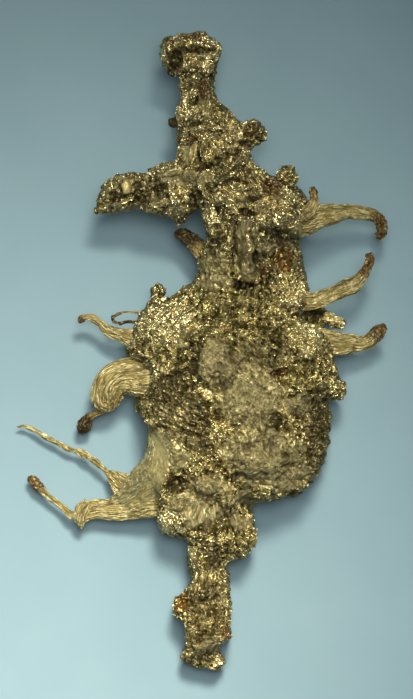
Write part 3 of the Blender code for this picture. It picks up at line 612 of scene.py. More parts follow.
def cracks(grid):
    """How deep in a crack each point is, from 0 to 1. Cracks are the seams between large cells
    whose places noise has pushed aside, and they come and go along their way."""
    size, reach = CRACK_WANDER
    border = grains(grid + reach * push_aside(grid, size, 80), PLATE_SIZE, 90)[1]
    open_here = np.clip(1.6 * noise(grid, 2.4, 84) + 0.75, 0, 1)
    return np.clip(1 - border / CRACK_WIDTH, 0, 1) * open_here


def hollows(grid, normal):
    """How hollow each point is, in millimetres: how far the mean of its neighbours a few steps away
    lies above it. On a bulge it is below zero."""
    rows = np.arange(len(grid))
    before = grid[np.maximum(rows - HOLLOW_STEPS, 0)]
    after = grid[np.minimum(rows + HOLLOW_STEPS, len(grid) - 1)]
    beside = np.roll(grid, HOLLOW_STEPS, axis=1) + np.roll(grid, -HOLLOW_STEPS, axis=1)
    return (((before + after + beside) / 4 - grid) * normal).sum(axis=-1)


print("cracked share of the trunk:", round((cracks(trunk) > 0).mean(), 2))

# %% [markdown]
# Now all of it comes together. Every kind of roughness has its own size in millimetres, from the
# big lumps to the grains. They add up to one height for each point, which is pushed out along
# the surface's own direction.

# %% The crystalline crust
# Each is (size, height), in millimetres.
LUMPS = ((2.6, 0.7), (1.3, 0.28))
RIDGES = ((0.95, 0.19), (0.45, 0.17))
GRAINS = ((0.7, 0.09), (0.34, 0.16))
CRACK_DEPTH = 0.3
GROOVE_DEPTH = 0.1
RIDGE_MIDDLE = 0.4  # about the mean of a ridge, taken off so that ridges don't swell the form
SEAM_WIDTH = 0.22  # of a grain
SEAM_DEPTH = 0.4  # of a grain's height
PIT_BELOW = 0.42  # a pit begins where the ridges are lower than this
PIT_FADE = 0.3
PIT_STAIN, CRACK_STAIN = 0.85, 0.9
SKIN_INSET = 0.05  # the ridges stand out of the outline by about this much
CALMING = {"dull": 0.6, "satin": 0.9, "olive": 0.5}  # how much of the roughness a finish takes away


def crust(grid, lumps=1.0, grain=1.0, drawn=None, fade=1.0):
    """A finished crust from a smooth grid: lumps, ridges (1 - |noise|)^3, grains, grooves and
    cracks, each pushed along the normals. Dull and satin ground keeps only a little of them. The
    big lumps and the grains are scaled by their arguments, and fade scales all the heights."""
    grid = shaped_by_spots(grid)
    normal = surface_normals(grid)
    facing = np.clip(normal[..., 2], 0, 1)
    finish = finishes_of(grid, facing)
    drawn = drawn_out(grid) if drawn is None else drawn
    groove = grooves(grid, facing)
    calm = np.clip(sum(share * finish[name] for name, share in CALMING.items()), 0, 1)
    crack = cracks(grid) * grain * (1 - 0.8 * calm)
    rough = grain * (1 - calm) * (1 - 0.5 * np.clip(2 * groove, 0, 1))
    height = -GROOVE_DEPTH * groove - CRACK_DEPTH * crack - SKIN_INSET
    for seed, (size, tall) in enumerate(LUMPS):
        height += lumps * tall * noise(grid, size, seed) * (1 - 0.5 * finish["satin"])
    edge = np.zeros(grid.shape[:2])
    for seed, (size, tall) in enumerate(RIDGES):
        ridge = (1 - np.abs(noise(drawn, size, 5 + seed))) ** 3
        height += tall * (0.1 + 0.9 * rough) * (ridge - RIDGE_MIDDLE)
        edge += 0.5 * ridge
    for seed, (size, tall) in enumerate(GRAINS):
        flat, border = grains(grid, size, 50 + 10 * seed)
        height += rough * tall * (flat + SEAM_DEPTH * np.clip(border / SEAM_WIDTH, 0, 1) - SEAM_DEPTH)
    pit = np.clip((PIT_BELOW - edge) / PIT_FADE, 0, 1) * (1 - 0.8 * calm)
    seam = np.clip(PIT_STAIN * pit + CRACK_STAIN * crack, 0, 1)
    # Painted shade: the more a point faces sideways, the darker the material paints it.
    side = np.clip(0.9 - 1.6 * normal[..., 2], 0, 1)
    finish.update(edge=edge, groove=groove, drawn=drawn, side=side, seam=seam)
    grid = grid + normal * (height * fade)[..., None]
    grid[..., 2] = np.maximum(grid[..., 2], 0)
    # How hollow a point is: the material paints shade into hollows and a little light onto bulges.
    finish["hollow"] = hollows(grid, normal) * (0.75 + 0.5 * noise(grid, 3.1, 95))
    return grid, finish


trunk, trunk_finish = crust(trunk)
print("crust:", trunk.shape, "highest point:", round(trunk[..., 2].max(), 1))

# %% [markdown]
# A closed surface needs faces between the rings and a fan on each end. The finishes are kept with
# it as one number per point, for the materials to read.

# %% From a grid to a shell
class Shell:
    """Points, triangles and per-point numbers of one closed surface, or of several joined."""

    def __init__(self, points, faces, values):
        self.points, self.faces, self.values = points, faces, values

    @staticmethod
    def joined(shells):
        """Shells one after the other. Each one's faces count its points from where they start."""
        starts = np.cumsum([0] + [len(shell.points) for shell in shells[:-1]])
        points = np.concatenate([shell.points for shell in shells])
        faces = np.concatenate([shell.faces + start for shell, start in zip(shells, starts)])
        values = {
            name: np.concatenate([shell.values[name] for shell in shells])
            for name in shells[0].values
        }
        return Shell(points, faces, values)


def shell_of(grid, values):
    """Two triangles for each step along and around, and a fan to the middle of each end ring."""
    rings, around = grid.shape[:2]
    first = np.arange(around)
    following = np.roll(first, -1)
    base = np.arange(rings - 1)[:, None] * around
    a, b = (base + first).ravel(), (base + around + first).ravel()
    c, d = (base + around + following).ravel(), (base + following).ravel()
    start, end = rings * around, rings * around + 1
    last = start - around
    faces = np.concatenate([
        np.stack([a, b, c], axis=1),
        np.stack([a, c, d], axis=1),
        np.stack([np.full(around, start), first, following], axis=1),
        np.stack([np.full(around, end), last + following, last + first], axis=1),
    ])
    ends = np.stack([grid[0].mean(axis=0), grid[-1].mean(axis=0)])
    points = np.concatenate([grid.reshape(-1, 3), ends])
    flat = {
        name: np.concatenate([
            value.reshape(start, -1), [value[0].reshape(around, -1).mean(axis=0)],
            [value[-1].reshape(around, -1).mean(axis=0)],
        ])
        for name, value in values.items()
    }
    return Shell(points, faces, flat)


print("a shell's faces:", len(shell_of(trunk, {}).faces))

# %% [markdown]
# The points and triangles go into a mesh as whole arrays, which is much faster than one by one.
# The object stays at the origin, because its place is in its points, as with the solids.

# %% From a shell to a piece of the specimen
FLAT_BELOW = 0.35  # less worn than this, a face is shaded flat
WORN = ("dull", "satin", "olive", "groove")


def piece(name, shell, material, replaced=None, smooth=False):
    """A named object from a shell. It rides on the specimen's one body. Granular faces are shaded
    flat, so that each one glints by itself, and worn and satin faces smooth."""
    mesh = bpy.data.meshes.new(name)
    mesh.vertices.add(len(shell.points))
    mesh.vertices.foreach_set("co", (shell.points * MM).astype(np.float32).ravel())
    mesh.loops.add(shell.faces.size)
    mesh.loops.foreach_set("vertex_index", shell.faces.astype(np.int32).ravel())
    mesh.polygons.add(len(shell.faces))
    mesh.polygons.foreach_set("loop_start", np.arange(0, shell.faces.size, 3, dtype=np.int32))
    mesh.update(calc_edges=True)
    mesh.validate()
    for key, value in shell.values.items():
        kind = ("FLOAT_VECTOR", "vector") if value.shape[1] == 3 else ("FLOAT", "value")
        layer = mesh.attributes.new(key, kind[0], "POINT")
        layer.data.foreach_set(kind[1], value.astype(np.float32).ravel())
    if "dull" in shell.values:
        worn = sum(shell.values[key] for key in WORN).ravel()
        smooth = worn[shell.faces].mean(axis=1) > FLAT_BELOW if smooth else smooth
    mesh.polygons.foreach_set("use_smooth", np.broadcast_to(smooth, len(mesh.polygons)).copy())
    mesh.materials.append(material)
    made = bpy.data.objects.new(name, mesh)
    bpy.context.scene.collection.objects.link(made)
    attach(made, "root")
    if replaced:
        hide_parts(*replaced)
    print(f"{name}: {len(mesh.polygons)} triangles")
    return made


# %% [markdown]
# Native silver is nearly white when it is fresh. This one has aged in air: a thin sulphide film
# turns the clean faces pale gold, and a thicker one turns them olive, brown and black. So both
# silvers below are written as coats of film from the metal up, and the granular one ends with
# coats of painted shade in deep hollows and on steep sides. A coat covers what is under it by
# its share, and a share is a product of ramps, each over one number that describes the point,
# such as how deep in a pit it lies.

# %% Coats of film
ALL = (0.0, 1.0, 0.0, 1.0)  # the ramp that gives the number itself


def share_of(tree, numbers, ramps):
    """A product of ramps. Each is the name of a number, its value at both ends of the ramp, and
    what the ramp gives there."""
    product = None
    for name, low, high, first, last in ramps:
        ramp = node(
            tree, "ShaderNodeMapRange", {0: numbers[name], 1: low, 2: high, 3: first, 4: last}, 0
        )
        product = ramp if product is None else node(
            tree, "ShaderNodeMath", {0: product, 1: ramp}, 0, operation="MULTIPLY"
        )
    return product


def sum_of(tree, total, terms):
    """The total plus each term times its weight, kept between 0 and 1 after each one."""
    for term, weight in terms:
        total = node(
            tree, "ShaderNodeMath", {0: term, 1: weight, 2: total}, 0,
            operation="MULTIPLY_ADD", use_clamp=True,
        )
    return total


def coated(tree, numbers, ground, coats):
    """The ground's colour, mixed with each coat's in turn by the coat's share. A colour is a hex
    value or what another stack of coats gave."""
    colour = ground if isinstance(ground, bpy.types.NodeSocket) else linear(ground)
    for film, ramps in coats:
        film = film if isinstance(film, bpy.types.NodeSocket) else linear(film)
        share = share_of(tree, numbers, ramps)
        colour = node(tree, "ShaderNodeMix", {0: share, 6: colour, 7: film}, 2, data_type="RGBA")
    return colour


def facets(tree, places, size):
    """Flat facets: the offset from the middle of a cell times the cell's own random tilt."""
    cell = node(tree, "ShaderNodeTexVoronoi", {"Vector": places, "Scale": 1 / size})
    tilt = node(
        tree, "ShaderNodeVectorMath", {0: cell.outputs["Color"], 1: (0.5, 0.5, 0.5)}, 0,
        operation="SUBTRACT",
    )
    offset = node(
        tree, "ShaderNodeVectorMath", {0: places, 1: cell.outputs["Position"]}, 0,
        operation="SUBTRACT",
    )
    return node(tree, "ShaderNodeVectorMath", {0: tilt, 1: offset}, "Value", operation="DOT_PRODUCT")


print("finishes a mesh hands over:", ", ".join(FINISHES))

# %% [markdown]
# The crust glints because it is made of chips that each face another way and are tarnished to
# another depth. A cell pattern gives both: the random colour of a cell is three numbers for its
# age, polish and stain, and the cell's tilt goes into the bump. On silky ground the chips are
# drawn out to fibres, because the pattern is read at the squeezed places.

# %% Material: granular tarnished silver
# Native silver, grown as grains and never polished. To the eye it is pale gold glints on clean
# chips, olive ones between them, and brown-black sulphide in the low places. On top of that,
# shade is painted deep into hollows and onto the steep sides.
CHIP_SIZE = 0.21  # millimetres across one chip of the colour pattern
GLINT_SIZES = (0.19, 0.42)  # and across the facets of the relief
GLINT_DEPTH = 1.25
FINE_DEPTH = 0.12  # of the fine noise in the relief, next to the facets
PATCH_PER_MM = 0.55
STONE_PER_MM = 4.5
PER_METRE = 1000.0
# A point is clean by a sum of ramps: its chip's age, the patch it is in, how far up a ridge it is,
# and whether it stands proud. The last is painted light: a bulge is painted a little cleaner, and
# so lighter, opposite the painted shade of the hollows.
CLEAN = [
    ("age", 0.1, 0.9, -0.2, 0.4), ("patches", 0.35, 0.65, -0.2, 0.4),
    ("edge", 0.25, 0.75, 0.0, 0.6), ("hollow", -0.18, 0.02, 0.4, 0.0),
]
COVERED = [("dull", *ALL), ("age", 0.72, 0.85, 1.0, 0.35)]  # by stone, which a few chips pierce
STONE = ("#6a603a", [
    ("#a39866", [("fine", 0.35, 0.65, 0.0, 1.0)]),
    ("#74704c", [("patches", 0.5, 0.7, 0.0, 0.5)]),
])
OLD_GOLD = ("#8f803e", [("#c9b870", [("fine", *ALL)])])
SATIN_GOLD = ("#b5a462", [("#e6d79a", [("fine", *ALL)])])
METALLIC = [("clean", 0.0, 1.0, 0.7, 0.92)]
METALLIC_CHANGE = {"bright": 0.05, "covered": -0.68, "satin": -0.3}
ROUGHNESS = [("polish", 0.0, 1.0, 0.46, 0.18)]
ROUGHNESS_CHANGE = {"dull": 0.36, "dark": 0.25, "satin": 0.22, "bright": -0.06}


def granular_coats(stone, old_gold, satin_gold):
    """The coats from the metal up: gold film, stains, stone, soot in what lies low, and painted
    shade in deep hollows and on the steep sides.
    """
    return "#786a2e", [
        ("#f1e5ab", [("clean", *ALL)]),
        (old_gold, [("fine", 0.0, 1.0, 0.25, 0.25)]),
        ("#fff1b8", [("bright", *ALL), ("polish", 0.0, 1.0, 0.4, 1.0)]),
        ("#8f6238", [("stain", 0.84, 0.9, 0.0, 0.4)]),
        ("#7f8a3e", [("stain", 0.74, 0.78, 0.4, 0.0), ("stain", 0.62, 0.66, 0.0, 1.0)]),
        ("#a1945a", [("olive", *ALL)]),
        (satin_gold, [("satin", *ALL)]),
        ("#a4762e", [("amber", 0.0, 1.0, 0.0, 0.75)]),
        ("#74421f", [("rust", 0.0, 1.0, 0.0, 0.65)]),
        (stone, [("covered", *ALL)]),
        ("#3b3212", [
            ("stain", 0.1, 0.26, 0.7, 0.0), ("calm", 0.0, 1.0, 1.0, 0.35),
            ("bright", 0.0, 1.0, 1.0, 0.3),
        ]),
        ("#33260f", [("dark", *ALL), ("polish", 0.0, 1.0, 0.95, 0.4)]),
        ("#4d3f1a", [("groove", 0.0, 1.0, 0.0, 0.5)]),
        ("#352b10", [("seam", *ALL), ("bright", 0.0, 1.0, 0.7, 0.35)]),
        # Painted shade deep in hollows.
        ("#2c220c", [("hollow", 0.02, 0.18, 0.0, 0.6)]),
        # Painted shade on the steep side walls, less of it on satin.
        ("#4a3d1c", [("side", *ALL), ("satin", 0.0, 1.0, 0.5, 0.1)]),
    ]


def granular_silver():
    """Numbers of the point first, then the coats, then how the metal reflects, then its relief."""
    material, tree, shader = new_material("granular_tarnished_silver")
    numbers = {
        name: node(tree, "ShaderNodeAttribute", out="Fac", attribute_name=name)
        for name in (*FINISHES, "edge", "hollow", "groove", "seam", "side")
    }
    drawn = node(tree, "ShaderNodeAttribute", out="Vector", attribute_name="drawn")
    chip = node(tree, "ShaderNodeTexVoronoi", {"Vector": drawn, "Scale": 1 / CHIP_SIZE}, "Color")
    own = node(tree, "ShaderNodeSeparateColor", {"Color": chip})
    numbers.update(zip(("age", "polish", "stain"), own.outputs))
    place = node(tree, "ShaderNodeTexCoord", out="Object")
    millimetres = node(
        tree, "ShaderNodeVectorMath", {0: place, "Scale": PER_METRE}, 0, operation="SCALE"
    )
    for name, at, scale, detail in (
        ("patches", millimetres, PATCH_PER_MM, 5.0), ("fine", drawn, STONE_PER_MM, 4.0),
    ):
        settings = {"Vector": at, "Scale": scale, "Detail": detail}
        numbers[name] = node(tree, "ShaderNodeTexNoise", settings, "Fac")
    numbers["calm"] = node(
        tree, "ShaderNodeMath", {0: numbers["dull"], 1: numbers["satin"]}, 0, operation="MAXIMUM"
    )
    numbers["covered"] = share_of(tree, numbers, COVERED)
    first, *others = [share_of(tree, numbers, [ramp]) for ramp in CLEAN]
    numbers["clean"] = sum_of(tree, first, [(other, 1.0) for other in others])

    blends = [coated(tree, numbers, *blend) for blend in (STONE, OLD_GOLD, SATIN_GOLD)]
    colour = coated(tree, numbers, *granular_coats(*blends))
    tree.links.new(colour, shader.inputs["Base Color"])

    for socket, start, change in (
        ("Metallic", METALLIC, METALLIC_CHANGE), ("Roughness", ROUGHNESS, ROUGHNESS_CHANGE),
    ):
        terms = [(numbers[name], weight) for name, weight in change.items()]
        value = sum_of(tree, share_of(tree, numbers, start), terms)
        tree.links.new(value, shader.inputs[socket])

    relief = share_of(tree, numbers, [("fine", 0.0, 1.0, 0.0, FINE_DEPTH)])
    for size in GLINT_SIZES:
        relief = node(
            tree, "ShaderNodeMath", {0: facets(tree, drawn, size), 1: relief}, 0, operation="ADD"
        )
    strength = share_of(tree, numbers, [("satin", 0.0, 1.0, 0.8, 0.2)])
    bump = {"Height": relief, "Distance": GLINT_DEPTH * MM, "Strength": strength}
    tree.links.new(node(tree, "ShaderNodeBump", bump, "Normal"), shader.inputs["Normal"])
    print(material.name, "has", len(tree.nodes), "nodes")
    return material


crust_material = granular_silver()

# %% [markdown]
# The crust of the trunk is cut into three pieces at the forks, where the solids have their gaps.
# Neighbouring pieces share the ring at the cut, so no gap shows. Each one takes the place of its
# solid.

# %% The trunk's three pieces
trunk_y = trunk[:, TRUNK_AROUND // 2, 1]
cut_foot = int(np.argmin(np.abs(trunk_y - FORK_FOOT)))
cut_top = int(np.argmin(np.abs(trunk_y - FORK_TOP)))
for name, first, last in (
    ("lower_stalk", 0, cut_foot), ("main_mass", cut_foot, cut_top),
    ("upper_stem", cut_top, len(trunk) - 1),
):
    values = {key: value[first:last + 1] for key, value in trunk_finish.items()}
    shell = shell_of(trunk[first:last + 1], values)
    piece(f"{name}_crust", shell, crust_material, [name], smooth=True)

# %% [markdown]
# The side arm and the short spur on the right are rough like the trunk, so they use the same
# crust. Only their middle line differs: a list of stations, each with the width and the
# thickness there. The rings stand across that line.

# %% Branches that are rough
# Stations from root to tip, each (x, y, z, width, thickness).
ROUGH_BRANCHES = {
    "side_arm": [
        (0.4, 18.4, 8.4, 4.6, 4.8), (-1.1, 18.3, 8.4, 5.0, 5.2), (-2.5, 17.8, 8.3, 5.8, 5.3),
        (-3.9, 17.8, 8.2, 5.4, 5.0), (-5.4, 17.4, 8.0, 5.0, 4.6), (-6.2, 17.7, 7.9, 4.2, 4.3),
        (-6.8, 18.15, 7.8, 3.2, 4.0), (-7.6, 17.8, 7.7, 3.6, 3.9), (-8.5, 17.2, 7.6, 3.7, 3.8),
        (-9.6, 16.5, 7.3, 3.1, 3.2), (-10.7, 15.8, 7.1, 2.3, 2.5), (-11.6, 15.2, 7.0, 1.2, 1.2),
    ],
    "spur_right": [
        (11.6, 2.4, 3.7, 2.6, 2.0), (12.2, 3.5, 3.8, 2.4, 2.0), (13.1, 4.1, 3.9, 2.1, 1.7),
        (14.1, 3.9, 3.9, 1.5, 1.3), (14.9, 3.5, 3.8, 1.5, 1.2), (15.6, 3.4, 3.8, 1.8, 1.5),
        (16.2, 3.5, 3.8, 1.2, 1.0),
    ],
}
ROUGH_STEP = 0.16
FEWEST_AROUND = 24  # points round a branch, however thin it is
FLATTEST = 0.0004  # keeps the last ring of a tip from shrinking to a point


def branch_line(stations, step):
    """Stations read at even steps along the smooth curve through the given ones."""
    stations = np.array(stations, float)
    gaps = np.linalg.norm(np.diff(stations[:, :3], axis=0), axis=1)
    reach = np.concatenate([[0], np.cumsum(gaps)])
    along = np.linspace(0, reach[-1], round(reach[-1] / step))
    line = [profile(np.stack([reach, column], axis=1), along) for column in stations.T]
    return along, np.stack(line, axis=1)


def across_line(centre):
    """Level side and rising directions that stand square to the line's heading."""
    heading = np.gradient(centre, axis=0)
    heading /= np.linalg.norm(heading, axis=1, keepdims=True)
    side = np.cross(heading, (0, 0, 1))
    side /= np.linalg.norm(side, axis=1, keepdims=True)
    return side, np.cross(side, heading)


def swept(line, p, q):
    """Rings across a line: point = middle + p * side + q * rise."""
    side, rise = across_line(line[:, :3])
    return line[:, None, :3] + side[:, None] * p[..., None] + rise[:, None] * q[..., None]


def angles(around):
    """Even angles round a ring, as one row."""
    return 2 * np.pi * np.arange(around)[None, :] / around


def rounded_end(along, radius):
    """Share of the full width near the tip: sqrt(1 - (1 - d / radius)^2) for the distance d to it."""
    near = np.clip((along[-1] - along) / radius, 0, 1)
    return np.sqrt(np.clip(1 - (1 - near) ** 2, FLATTEST, 1))


def rough_branch(stations):
    """Ovals across the line, closed to a round tip, with the crust on top."""
    along, line = branch_line(stations, ROUGH_STEP)
    angle = angles(max(FEWEST_AROUND, round(np.pi * line[:, 3].mean() / ROUGH_STEP)))
    closing = rounded_end(along, line[-2, 3])[:, None]
    p = line[:, 3:4] / 2 * closing * np.cos(angle)
    q = line[:, 4:5] / 2 * closing * np.sin(angle)
    return crust(swept(line, p, q))


rough_shells = {}
for name, stations in ROUGH_BRANCHES.items():
    rough_shells[name] = rough_branch(stations)
    piece(f"{name}_crust", shell_of(*rough_shells[name]), crust_material, [name], smooth=True)

# %% [markdown]
# Knobs are small rough balls that stand out of the trunk's outline. A ball is stacked circles
# from pole to pole, stretched to its three half sizes, with the same crust as the rest.

# %% Knobs
# Each is the middle and the three half sizes.
KNOBS = {
    "stem_knob": ((5.7, 23.9, 8.4), (1.6, 1.5, 1.5)),
    "stem_knob_root": ((4.6, 23.0, 8.3), (1.4, 1.5, 1.4)),
    "shoulder_knob": ((9.6, 19.2, 9.8), (1.35, 1.5, 1.4)),
    "left_knob": ((-4.6, 6.4, 4.4), (0.75, 1.0, 0.9)),
    "left_knob_root": ((-4.2, 5.2, 4.4), (1.5, 0.9, 1.2)),
    "left_nub": ((-7.3, 0.2, 3.4), (1.0, 0.7, 0.7)),
    "right_nub": ((15.1, -4.0, 5.4), (0.9, 0.9, 1.0)),
    "arm_tooth": ((-2.2, 15.2, 7.2), (0.85, 1.3, 1.0)),
    "foot_lobe": ((-3.0, -19.2, 3.8), (1.6, 1.2, 1.5)),
    "arm_pebble": ((-8.1, 18.0, 9.55), (0.72, 1.12, 0.55)),
}
KNOB_LUMPS = 0.35  # a small ball takes this share of the big lumps
POLE_GAP = 0.04  # radians from a pole to the first circle


def ball_grid(centre, half_sizes, rings=22, around=44):
    """Point = centre + half sizes * (sin t cos a, sin t sin a, cos t), with t from pole to pole."""
    tilt = np.linspace(POLE_GAP, np.pi - POLE_GAP, rings)[:, None]
    angle = angles(around)
    x, y = np.sin(tilt) * np.cos(angle), np.sin(tilt) * np.sin(angle)
    ball = np.stack([x, y, np.cos(tilt) + 0 * angle], axis=-1)
    return np.array(centre) + ball * np.array(half_sizes)


for name, sizes in KNOBS.items():
    shell = shell_of(*crust(ball_grid(*sizes), KNOB_LUMPS))
    piece(name, shell, crust_material, smooth=True)

# %% [markdown]
# Small beads of silver line the right edge of the mass. They are the same balls, only smaller.
# Just the ends of the row are chosen, and the places and sizes are drawn from a fixed seed, so
# that they look grown but are the same on every run.

# %% Beads along the right edge
BEADS = 46
BEADS_FROM, BEADS_TO = -15.0, -4.5  # along Y
BEAD_RADII = (0.3, 0.6)
BEADS_INWARD = 1.6  # the furthest from the edge
BEADS_LOW, BEADS_RISE = 4.4, 3.4  # height at the edge, and how much higher the inner ones sit
BEAD_LUMPS = 0.1


def bead_shells():
    """Balls just inside the outline. Their height rises with the root of the way inward, as the
    rounded edge of the mass does."""
    draw = np.random.default_rng(7)
    y = np.linspace(BEADS_FROM, BEADS_TO, BEADS) + draw.uniform(-0.2, 0.2, BEADS)
    edge = profile(TRUNK_RIGHT, y)
    radius = draw.uniform(*BEAD_RADII, BEADS)
    inward = draw.uniform(0.0, BEADS_INWARD, BEADS)
    rise = BEADS_RISE * np.sqrt(np.clip(inward / BEADS_INWARD, 0, 1))
    z = BEADS_LOW + rise + draw.uniform(-0.4, 0.4, BEADS)
    centres = np.stack([edge - inward, y, z], axis=1)
    return [
        shell_of(*crust(ball_grid(centre, (size,) * 3, 9, 16), BEAD_LUMPS))
        for centre, size in zip(centres, radius)
    ]


piece("rim_beads", Shell.joined(bead_shells()), crust_material, smooth=True)

# %% [markdown]
# On the stem, the arm and the shoulder the silver grew as strands that have fused together. Each
# strand is a short rope that lies on the crust. Only its way seen from above and its width are
# given: its height is read from the crust under it.

# %% Strands fused to the crust
# Each is (width, lift, places as (x, y) from end to end).
STEM_STRANDS = [
    (0.8, 0.15, [(-2.1, 24.7), (-2.0, 26.7), (-1.9, 28.3), (-1.8, 29.8)]),
    (0.9, 0.2, [(-1.1, 26.5), (-0.8, 28.0), (-0.4, 29.3), (-0.3, 30.6)]),
    (0.8, 0.1, [(0.9, 26.7), (0.7, 28.3), (0.5, 30.0)]),
    (0.9, 0.3, [(-1.8, 24.8), (-0.4, 25.6), (1.1, 25.8), (2.4, 25.4)]),
    (0.8, 0.2, [(-1.5, 23.9), (0.0, 24.5), (1.6, 24.4), (3.1, 23.6)]),
    (0.6, 0.2, [(-1.8, 20.9), (-1.6, 22.0), (-1.1, 23.2)]),
    (0.6, 0.2, [(-1.1, 20.7), (-0.9, 21.9), (-0.5, 23.0)]),
    (0.8, 0.35, [(0.3, 21.2), (0.3, 22.7), (1.1, 23.5), (2.4, 23.6), (3.3, 22.9)]),
    (0.6, 0.3, [
        (-3.7, 31.6), (-3.9, 32.8), (-3.5, 33.8), (-2.4, 34.2), (-0.9, 34.1), (0.5, 34.0), (1.5, 33.4),
    ]),
    (0.6, 0.2, [(-2.6, 30.1), (-3.3, 30.8), (-3.7, 31.8)]),
    (0.32, 0.15, [(-0.5, 31.75), (0.4, 31.6), (1.3, 31.8)]),
]
SHOULDER_STRANDS = [
    (1.1, 0.3, [(3.4, 19.8), (4.5, 20.9), (4.9, 22.2)]),
    (1.0, 0.5, [(1.6, 18.4), (3.2, 19.5), (4.6, 20.6)]),
    (0.7, 0.3, [(0.6, 20.0), (0.0, 18.8), (0.5, 17.3), (1.1, 16.2)]),
    (0.6, 0.2, [(0.6, 14.2), (0.8, 15.5), (1.4, 16.8)]),
    (0.7, 0.3, [(2.2, 14.3), (2.4, 15.8), (2.9, 17.2)]),
    (0.6, 0.2, [(2.9, 11.0), (3.1, 12.4), (3.5, 13.9), (4.0, 15.2)]),
    (0.7, 0.2, [(6.6, 10.0), (6.4, 11.8), (6.0, 13.4), (6.2, 15.0)]),
    (0.5, 0.1, [(8.4, 9.2), (8.3, 10.6), (8.5, 11.6)]),
    (0.5, 0.1, [(9.2, 9.3), (9.3, 10.6), (9.2, 11.5)]),
    (0.7, 0.3, [(6.4, 17.2), (7.6, 17.9), (9.0, 18.0)]),
    (0.6, 0.2, [(4.0, 17.4), (5.4, 17.9), (6.8, 18.4)]),
]
ARM_STRANDS = [
    (0.9, 0.2, [(-0.6, 19.9), (-2.2, 19.8), (-3.8, 19.6), (-5.2, 19.2)]),
    (0.8, 0.2, [(-2.2, 16.6), (-3.4, 16.3), (-4.6, 16.1), (-5.6, 16.3)]),
    (0.7, 0.3, [(-7.3, 17.1), (-8.0, 16.8), (-8.8, 16.4), (-9.6, 15.9)]),
    (0.6, 0.1, [(-9.2, 18.4), (-9.9, 17.8), (-10.5, 17.0)]),
    (0.6, 0.3, [(-3.1, 19.0), (-3.2, 17.8), (-2.9, 16.6), (-2.6, 15.6)]),
]
# The boss of the shoulder is ringed by thin strands, each (radius, from, to) in degrees.
BOSS = (9.1, 15.1)
BOSS_FLATNESS = 0.85  # seen from above it is this much shorter than broad
BOSS_STRAND = (0.3, 0.03)
BOSS_ARCS = [
    (0.6, 140, 330), (1.0, 170, 400), (1.4, 150, 310), (1.5, 340, 440), (1.9, 180, 350),
    (2.3, 150, 260), (2.4, 280, 380), (2.7, 195, 300),
]
for radius, start, end in BOSS_ARCS:
    turn = np.radians(np.linspace(start, end, 7))
    ring = np.array(BOSS) + radius * np.stack([np.cos(turn), BOSS_FLATNESS * np.sin(turn)], axis=1)
    SHOULDER_STRANDS.append((*BOSS_STRAND, ring.tolist()))
print("strands:", len(STEM_STRANDS) + len(SHOULDER_STRANDS) + len(ARM_STRANDS))

# %% [markdown]
# A rope is circles carried along its line. It tapers at both ends and swells a little on the way,
# as silver does where it grew in steps. The pattern of chips is read along the rope, not across
# it, so its grain is lengthwise.

# %% Ropes of silver
STRAND_STEP = 0.12
STRAND_GRAIN = 0.9  # a strand has less of the grains than the crust
STRAND_BRIGHT = 0.8  # and it is rubbed cleaner
STRAND_STRETCH = 0.5


def top_of(grid, places):
    """Height of the crust at each place: that of the nearest point of its upper side."""
    upper = grid[surface_normals(grid)[..., 2] > 0.2]
    gaps = np.hypot(*(upper[None, :, :2] - np.array(places)[:, None, :]).transpose(2, 0, 1))
    return upper[np.argmin(gaps, axis=1), 2]


def strand(grid, width, lift, places):
    """Radius = half width * taper * (1 + 0.15 cos 3s) * (1 + 0.07 cos(5a + 0.8s)) at the distance
    s along the places and the angle a round them."""
    z = top_of(grid, places) + lift
    stations = [(x, y, height, width, width) for (x, y), height in zip(places, z)]
    along, line = branch_line(stations, STRAND_STEP)
    angle = angles(FEWEST_AROUND)
    closing = rounded_end(along, 0.8 * width)
    swell = closing * closing[::-1] * (1 + 0.15 * np.cos(3 * along))
    ripple = 1 + 0.07 * np.cos(5 * angle + 0.8 * along[:, None])
    radius = line[:, 3:4] / 2 * swell[:, None] * ripple
    rope = swept(line, radius * np.cos(angle), radius * np.sin(angle))
    lengthwise = rope.copy()
    lengthwise[..., 0] = along[:, None] * STRAND_STRETCH
    lengthwise[..., 1] = angle * width
    rope, finish = crust(rope, KNOB_LUMPS, STRAND_GRAIN, lengthwise, swell[:, None])
    finish["bright"] = np.maximum(finish["bright"], STRAND_BRIGHT)
    finish["dark"] *= 1 - STRAND_BRIGHT
    return shell_of(rope, finish)


for name, source, strands in (
    ("stem_strands", trunk, STEM_STRANDS), ("shoulder_strands", trunk, SHOULDER_STRANDS),
    ("arm_strands", rough_shells["side_arm"][0], ARM_STRANDS),
):
    ropes = [strand(source, *shape) for shape in strands]
    piece(name, Shell.joined(ropes), crust_material, smooth=True)

# %% [markdown]
# Horns and wires of silver are pushed out from their roots like toothpaste, so fine grooves run
# along them, and they curl where one side grew faster. The grooves are noise that is read in the
# horn's own straightened space, where the third number is the distance along it. It is squeezed
# along that direction, so each bump is drawn out into a long stria.

